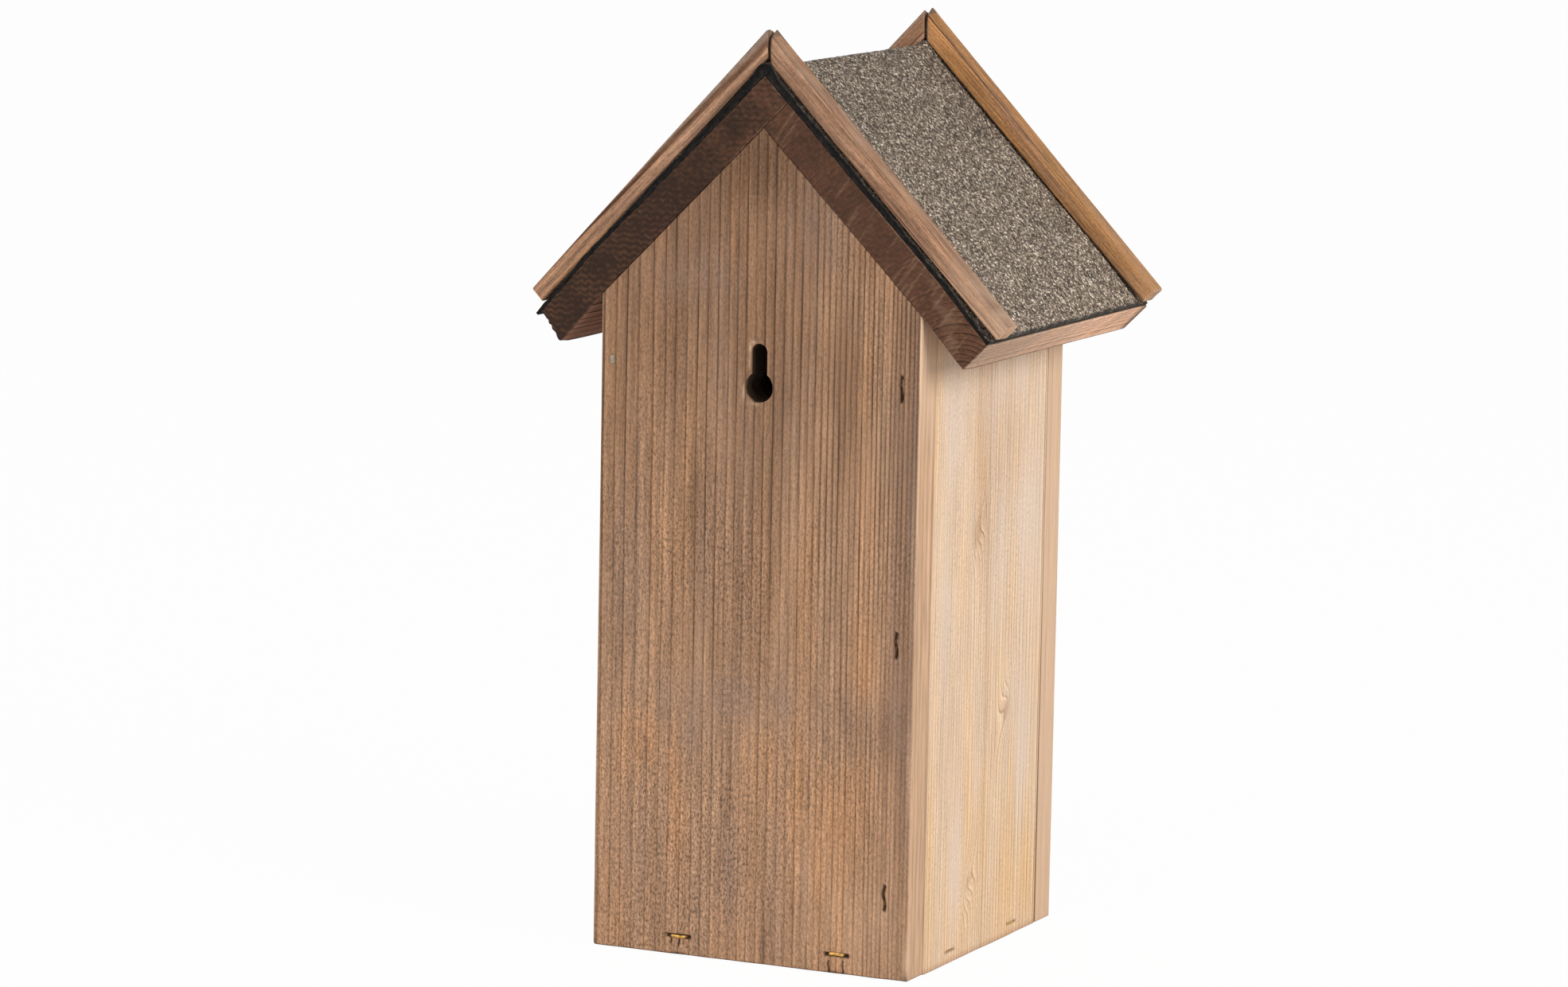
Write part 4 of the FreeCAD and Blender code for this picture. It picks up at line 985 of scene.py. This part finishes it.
def bent_crown(sunk):
    """Path of a staple in its own plane: up one leg, over the bends and the crown, down the other."""
    half = STAPLE_HALF - WIRE_HALF_DEPTH
    quarter = np.linspace(0, math.pi / 2, 6)
    left = [(-half + STAPLE_BEND * (1 - math.cos(a)), STAPLE_BEND * (math.sin(a) - 1)) for a in quarter]
    crown = [(x, 0.0) for x in np.linspace(-half + 1.6 * MM, half - 1.6 * MM, 7)]
    right = [(-x, z) for x, z in reversed(left)]
    path = np.array([(-half, -STAPLE_LEG), *left, *crown, *right, (half, -STAPLE_LEG)])
    path[:, 1] -= WIRE_HALF_DEPTH + sunk
    return path


def staples(name, node_name, places, crown_way, out_way, sunk, rust):
    """All staples of one node: places are the middles of their crowns, on the wood's surface."""
    crown_way, out_way = np.array(crown_way, float), np.array(out_way, float)
    shapes = []
    path = bent_crown(sunk)
    for number, place in enumerate(places):
        bow = 0.3 * MM * np.cos(path[:, 0] / STAPLE_HALF * 1.5) * (1 - 2 * (number % 2))
        route = np.array(place) + path[:, :1] * crown_way + path[:, 1:] * out_way
        route = route + bow[:, None] * np.cross(crown_way, out_way)
        shapes.append(swept_wire(route, np.cross(crown_way, out_way), WIRE_HALF_WIDTH, WIRE_HALF_DEPTH))
    points, faces = joined(shapes)
    piece = make_piece(name, points, faces, staple_wire)
    smooth(piece)
    along_crown = [np.abs((points - place) @ crown_way) for place in places]
    near = [np.linalg.norm(points - place, axis=1) < 1.2 * STAPLE_LEG for place in places]
    reach = np.min(np.where(near, along_crown, 1), axis=0)
    paint_points(piece, wear=np.clip(rust + fade(reach, 2.4 * MM, 3.6 * MM), 0, 1))
    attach(piece, "box")
    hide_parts(node_name)


for end, face_y, out in (("back", BACK_Y, 1), ("front", FRONT_Y, -1)):
    staples(f"{end}_edge_wires", f"{end}_edge_staples", [(x, face_y, z) for x, z in edge_staples],
            (0, 0, 1), (0, out, 0), 0.6 * MM, 0.9)
    staples(f"{end}_floor_wires", f"{end}_floor_staples", [(x, face_y, z) for x, z in floor_staples],
            (1, 0, 0), (0, out, 0), 0.2 * MM, 0.0)
staples("wall_floor_wires", "wall_floor_staples", [(-PANEL_HALF, y, z) for y, z in wall_staples],
        (0, 1, 0), (-1, 0, 0), 0.02 * MM, 0.0)
for node_name in ("right_roof_staples", "left_roof_staples", "ridge_staples"):
    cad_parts[node_name].data.materials.clear()
    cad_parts[node_name].data.materials.append(staple_wire)

# Brads: fine nails of flat grey wire, two through each batten, the felt and the roof board.
# They are punched in below the wood.
nail_steel = metal("nail_steel", (172, 164, 146), (122, 114, 100), (34, 26, 20), 0.45, 0.5)
BRAD_HALF = np.array([0.5 * MM, 0.6 * MM])
BRAD_Y = 73 * MM
BRAD_POINT = 2.2 * MM
brad_tops = ((22 * MM, 23.8 * MM), (96.67 * MM, 21.8 * MM))
shapes = []
for side in (1, -1):
    axes = slope_axes(side)
    for brad_y in (BRAD_Y, -BRAD_Y):
        for run, top in brad_tops:
            square = np.array([(-1, -1), (1, -1), (1, 1), (-1, 1)]) * BRAD_HALF + [brad_y, run]
            shapes.append(placed(*prism(square, 1, (BRAD_POINT, top)), axes, ridge_origin))
brads = make_piece("batten_pins", *joined(shapes), nail_steel)
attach(brads, "box")
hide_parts("batten_brads")

# Pivot nails: one through each gable panel into the door's top corner, of grey wire.
# The slim heads are punched in a little.
HEAD_HALF_X = 0.8 * MM
HEAD_HALF_Z = 1.6 * MM
HEAD_DEEP = 0.8 * MM
NAIL_R = 1 * MM
NAIL_LONG = 38 * MM
NAIL_POINT = 3 * MM
NAIL_SUNK = 0.25 * MM
nail_place = [pivot[0][1], pivot[0][0]]
for end, face_y, out in (("back", BACK_Y, 1), ("front", FRONT_Y, -1)):
    oblong = round_outline(1.0, 32)
    oblong = np.sign(oblong) * np.abs(oblong) ** 0.45 * [HEAD_HALF_Z, HEAD_HALF_X] + nail_place
    sunk = face_y - out * NAIL_SUNK
    head = prism(oblong, 1, sorted((sunk, sunk - out * HEAD_DEEP)))
    shank_ends = (sunk - out * HEAD_DEEP / 2, sunk - out * (NAIL_LONG - NAIL_POINT), sunk - out * NAIL_LONG)
    shank, shank_faces = prism(round_outline(NAIL_R, 24) + nail_place, 1, sorted(shank_ends))
    middle = np.array([nail_place[1], 0, nail_place[0]])
    at_point = np.abs(shank[:, 1] - shank_ends[2]) < 0.1 * MM
    shank[at_point] += (middle - shank[at_point]) * [0.9, 0, 0.9]
    nail = make_piece(f"{end}_pivot_pin", *joined((head, (shank, shank_faces))), nail_steel)
    smooth(nail)
    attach(nail, "box")
    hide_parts(f"{end}_pivot_nail")

# Catch hook: brass-plated wire hook, screwed into the front panel's edge.
# Turned up, its arm holds the door shut.
hook_brass = metal("hook_brass", (224, 182, 104), (182, 140, 74), (90, 62, 34), 0.22, 0.5)
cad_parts["catch_hook"].data.materials.clear()
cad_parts["catch_hook"].data.materials.append(hook_brass)

# Studio: pale floor and white surround, with two wide soft lamps.
# One stands on the fixed wall's side, and a weaker one lights the back panel.
FLOOR_SIZE = 12
corners = np.array([(-1, -1, 0), (1, -1, 0), (1, 1, 0), (-1, 1, 0)]) * FLOOR_SIZE - [0, 0, 0.4 * MM]
pale, tree, matt = new_material("pale_floor")
matt.inputs["Base Color"].default_value = colour(235, 233, 230)
matt.inputs["Roughness"].default_value = 0.9
WHITE_SHARE = 0.97


def seen_directly(tree):
    """1 for what the camera sees straight, mirrored or through glass."""
    path = node(tree, "ShaderNodeLightPath").outputs
    mirrored = maths(tree, "MAXIMUM", path["Is Glossy Ray"], path["Is Transmission Ray"])
    return maths(tree, "MAXIMUM", path["Is Camera Ray"], mirrored)


white = node(tree, "ShaderNodeEmission", {"Color": (1, 1, 1, 1), "Strength": 1.0})
share = maths(tree, "MULTIPLY", seen_directly(tree), WHITE_SHARE)
lit = node(tree, "ShaderNodeMixShader", {0: share, 1: matt.outputs[0], 2: white.outputs[0]})
tree.links.new(lit.outputs[0], tree.nodes["Material Output"].inputs["Surface"])
studio_floor = make_piece("studio_floor", corners, [[0, 1, 2, 3]], pale)

world = bpy.data.worlds.new("studio")
world.use_nodes = True
tree = world.node_tree
FILL = 0.5
strength = maths(tree, "MULTIPLY_ADD", seen_directly(tree), 1 - FILL, FILL)
tree.nodes["Background"].inputs["Color"].default_value = (1, 1, 1, 1)
tree.links.new(strength, tree.nodes["Background"].inputs["Strength"])
bpy.context.scene.world = world
BOX_MIDDLE = Vector((0, 0, 0.18))


def soft_lamp(name, place, size, watts):
    lamp = bpy.data.lights.new(name, "AREA")
    lamp.size = size
    lamp.energy = watts
    holder = bpy.data.objects.new(name, lamp)
    holder.location = place
    aim = BOX_MIDDLE - Vector(place)
    holder.rotation_euler = aim.to_track_quat("-Z", "Y").to_euler()
    bpy.context.scene.collection.objects.link(holder)


soft_lamp("side_lamp", (-2.0, 0.7, 1.1), 1.2, 31)
soft_lamp("back_lamp", (0.5, 2.6, 1.0), 1.6, 26)

# Camera: long lens, a little above the box and to the fixed wall's side of its back.
YAW, PITCH, ROLL = (math.radians(angle) for angle in (25.182, 8.370, 1.073))
ahead = Vector((math.sin(YAW) * math.cos(PITCH), -math.cos(YAW) * math.cos(PITCH), -math.sin(PITCH)))
level_right = ahead.cross(Vector((0, 0, 1))).normalized()
level_up = level_right.cross(ahead)
right = math.cos(ROLL) * level_right + math.sin(ROLL) * level_up
up = math.cos(ROLL) * level_up - math.sin(ROLL) * level_right
lens = bpy.data.cameras.new("camera")
lens.sensor_width = 36
lens.sensor_fit = "HORIZONTAL"
lens.lens = 144.09
camera = bpy.data.objects.new("camera", lens)
turn = Matrix((right, up, -ahead)).transposed().to_4x4()
camera.matrix_world = Matrix.Translation((-1.02624, 2.237898, 0.536636)) @ turn
bpy.context.scene.collection.objects.link(camera)
bpy.context.scene.camera = camera
bpy.context.scene.view_settings.view_transform = "Standard"
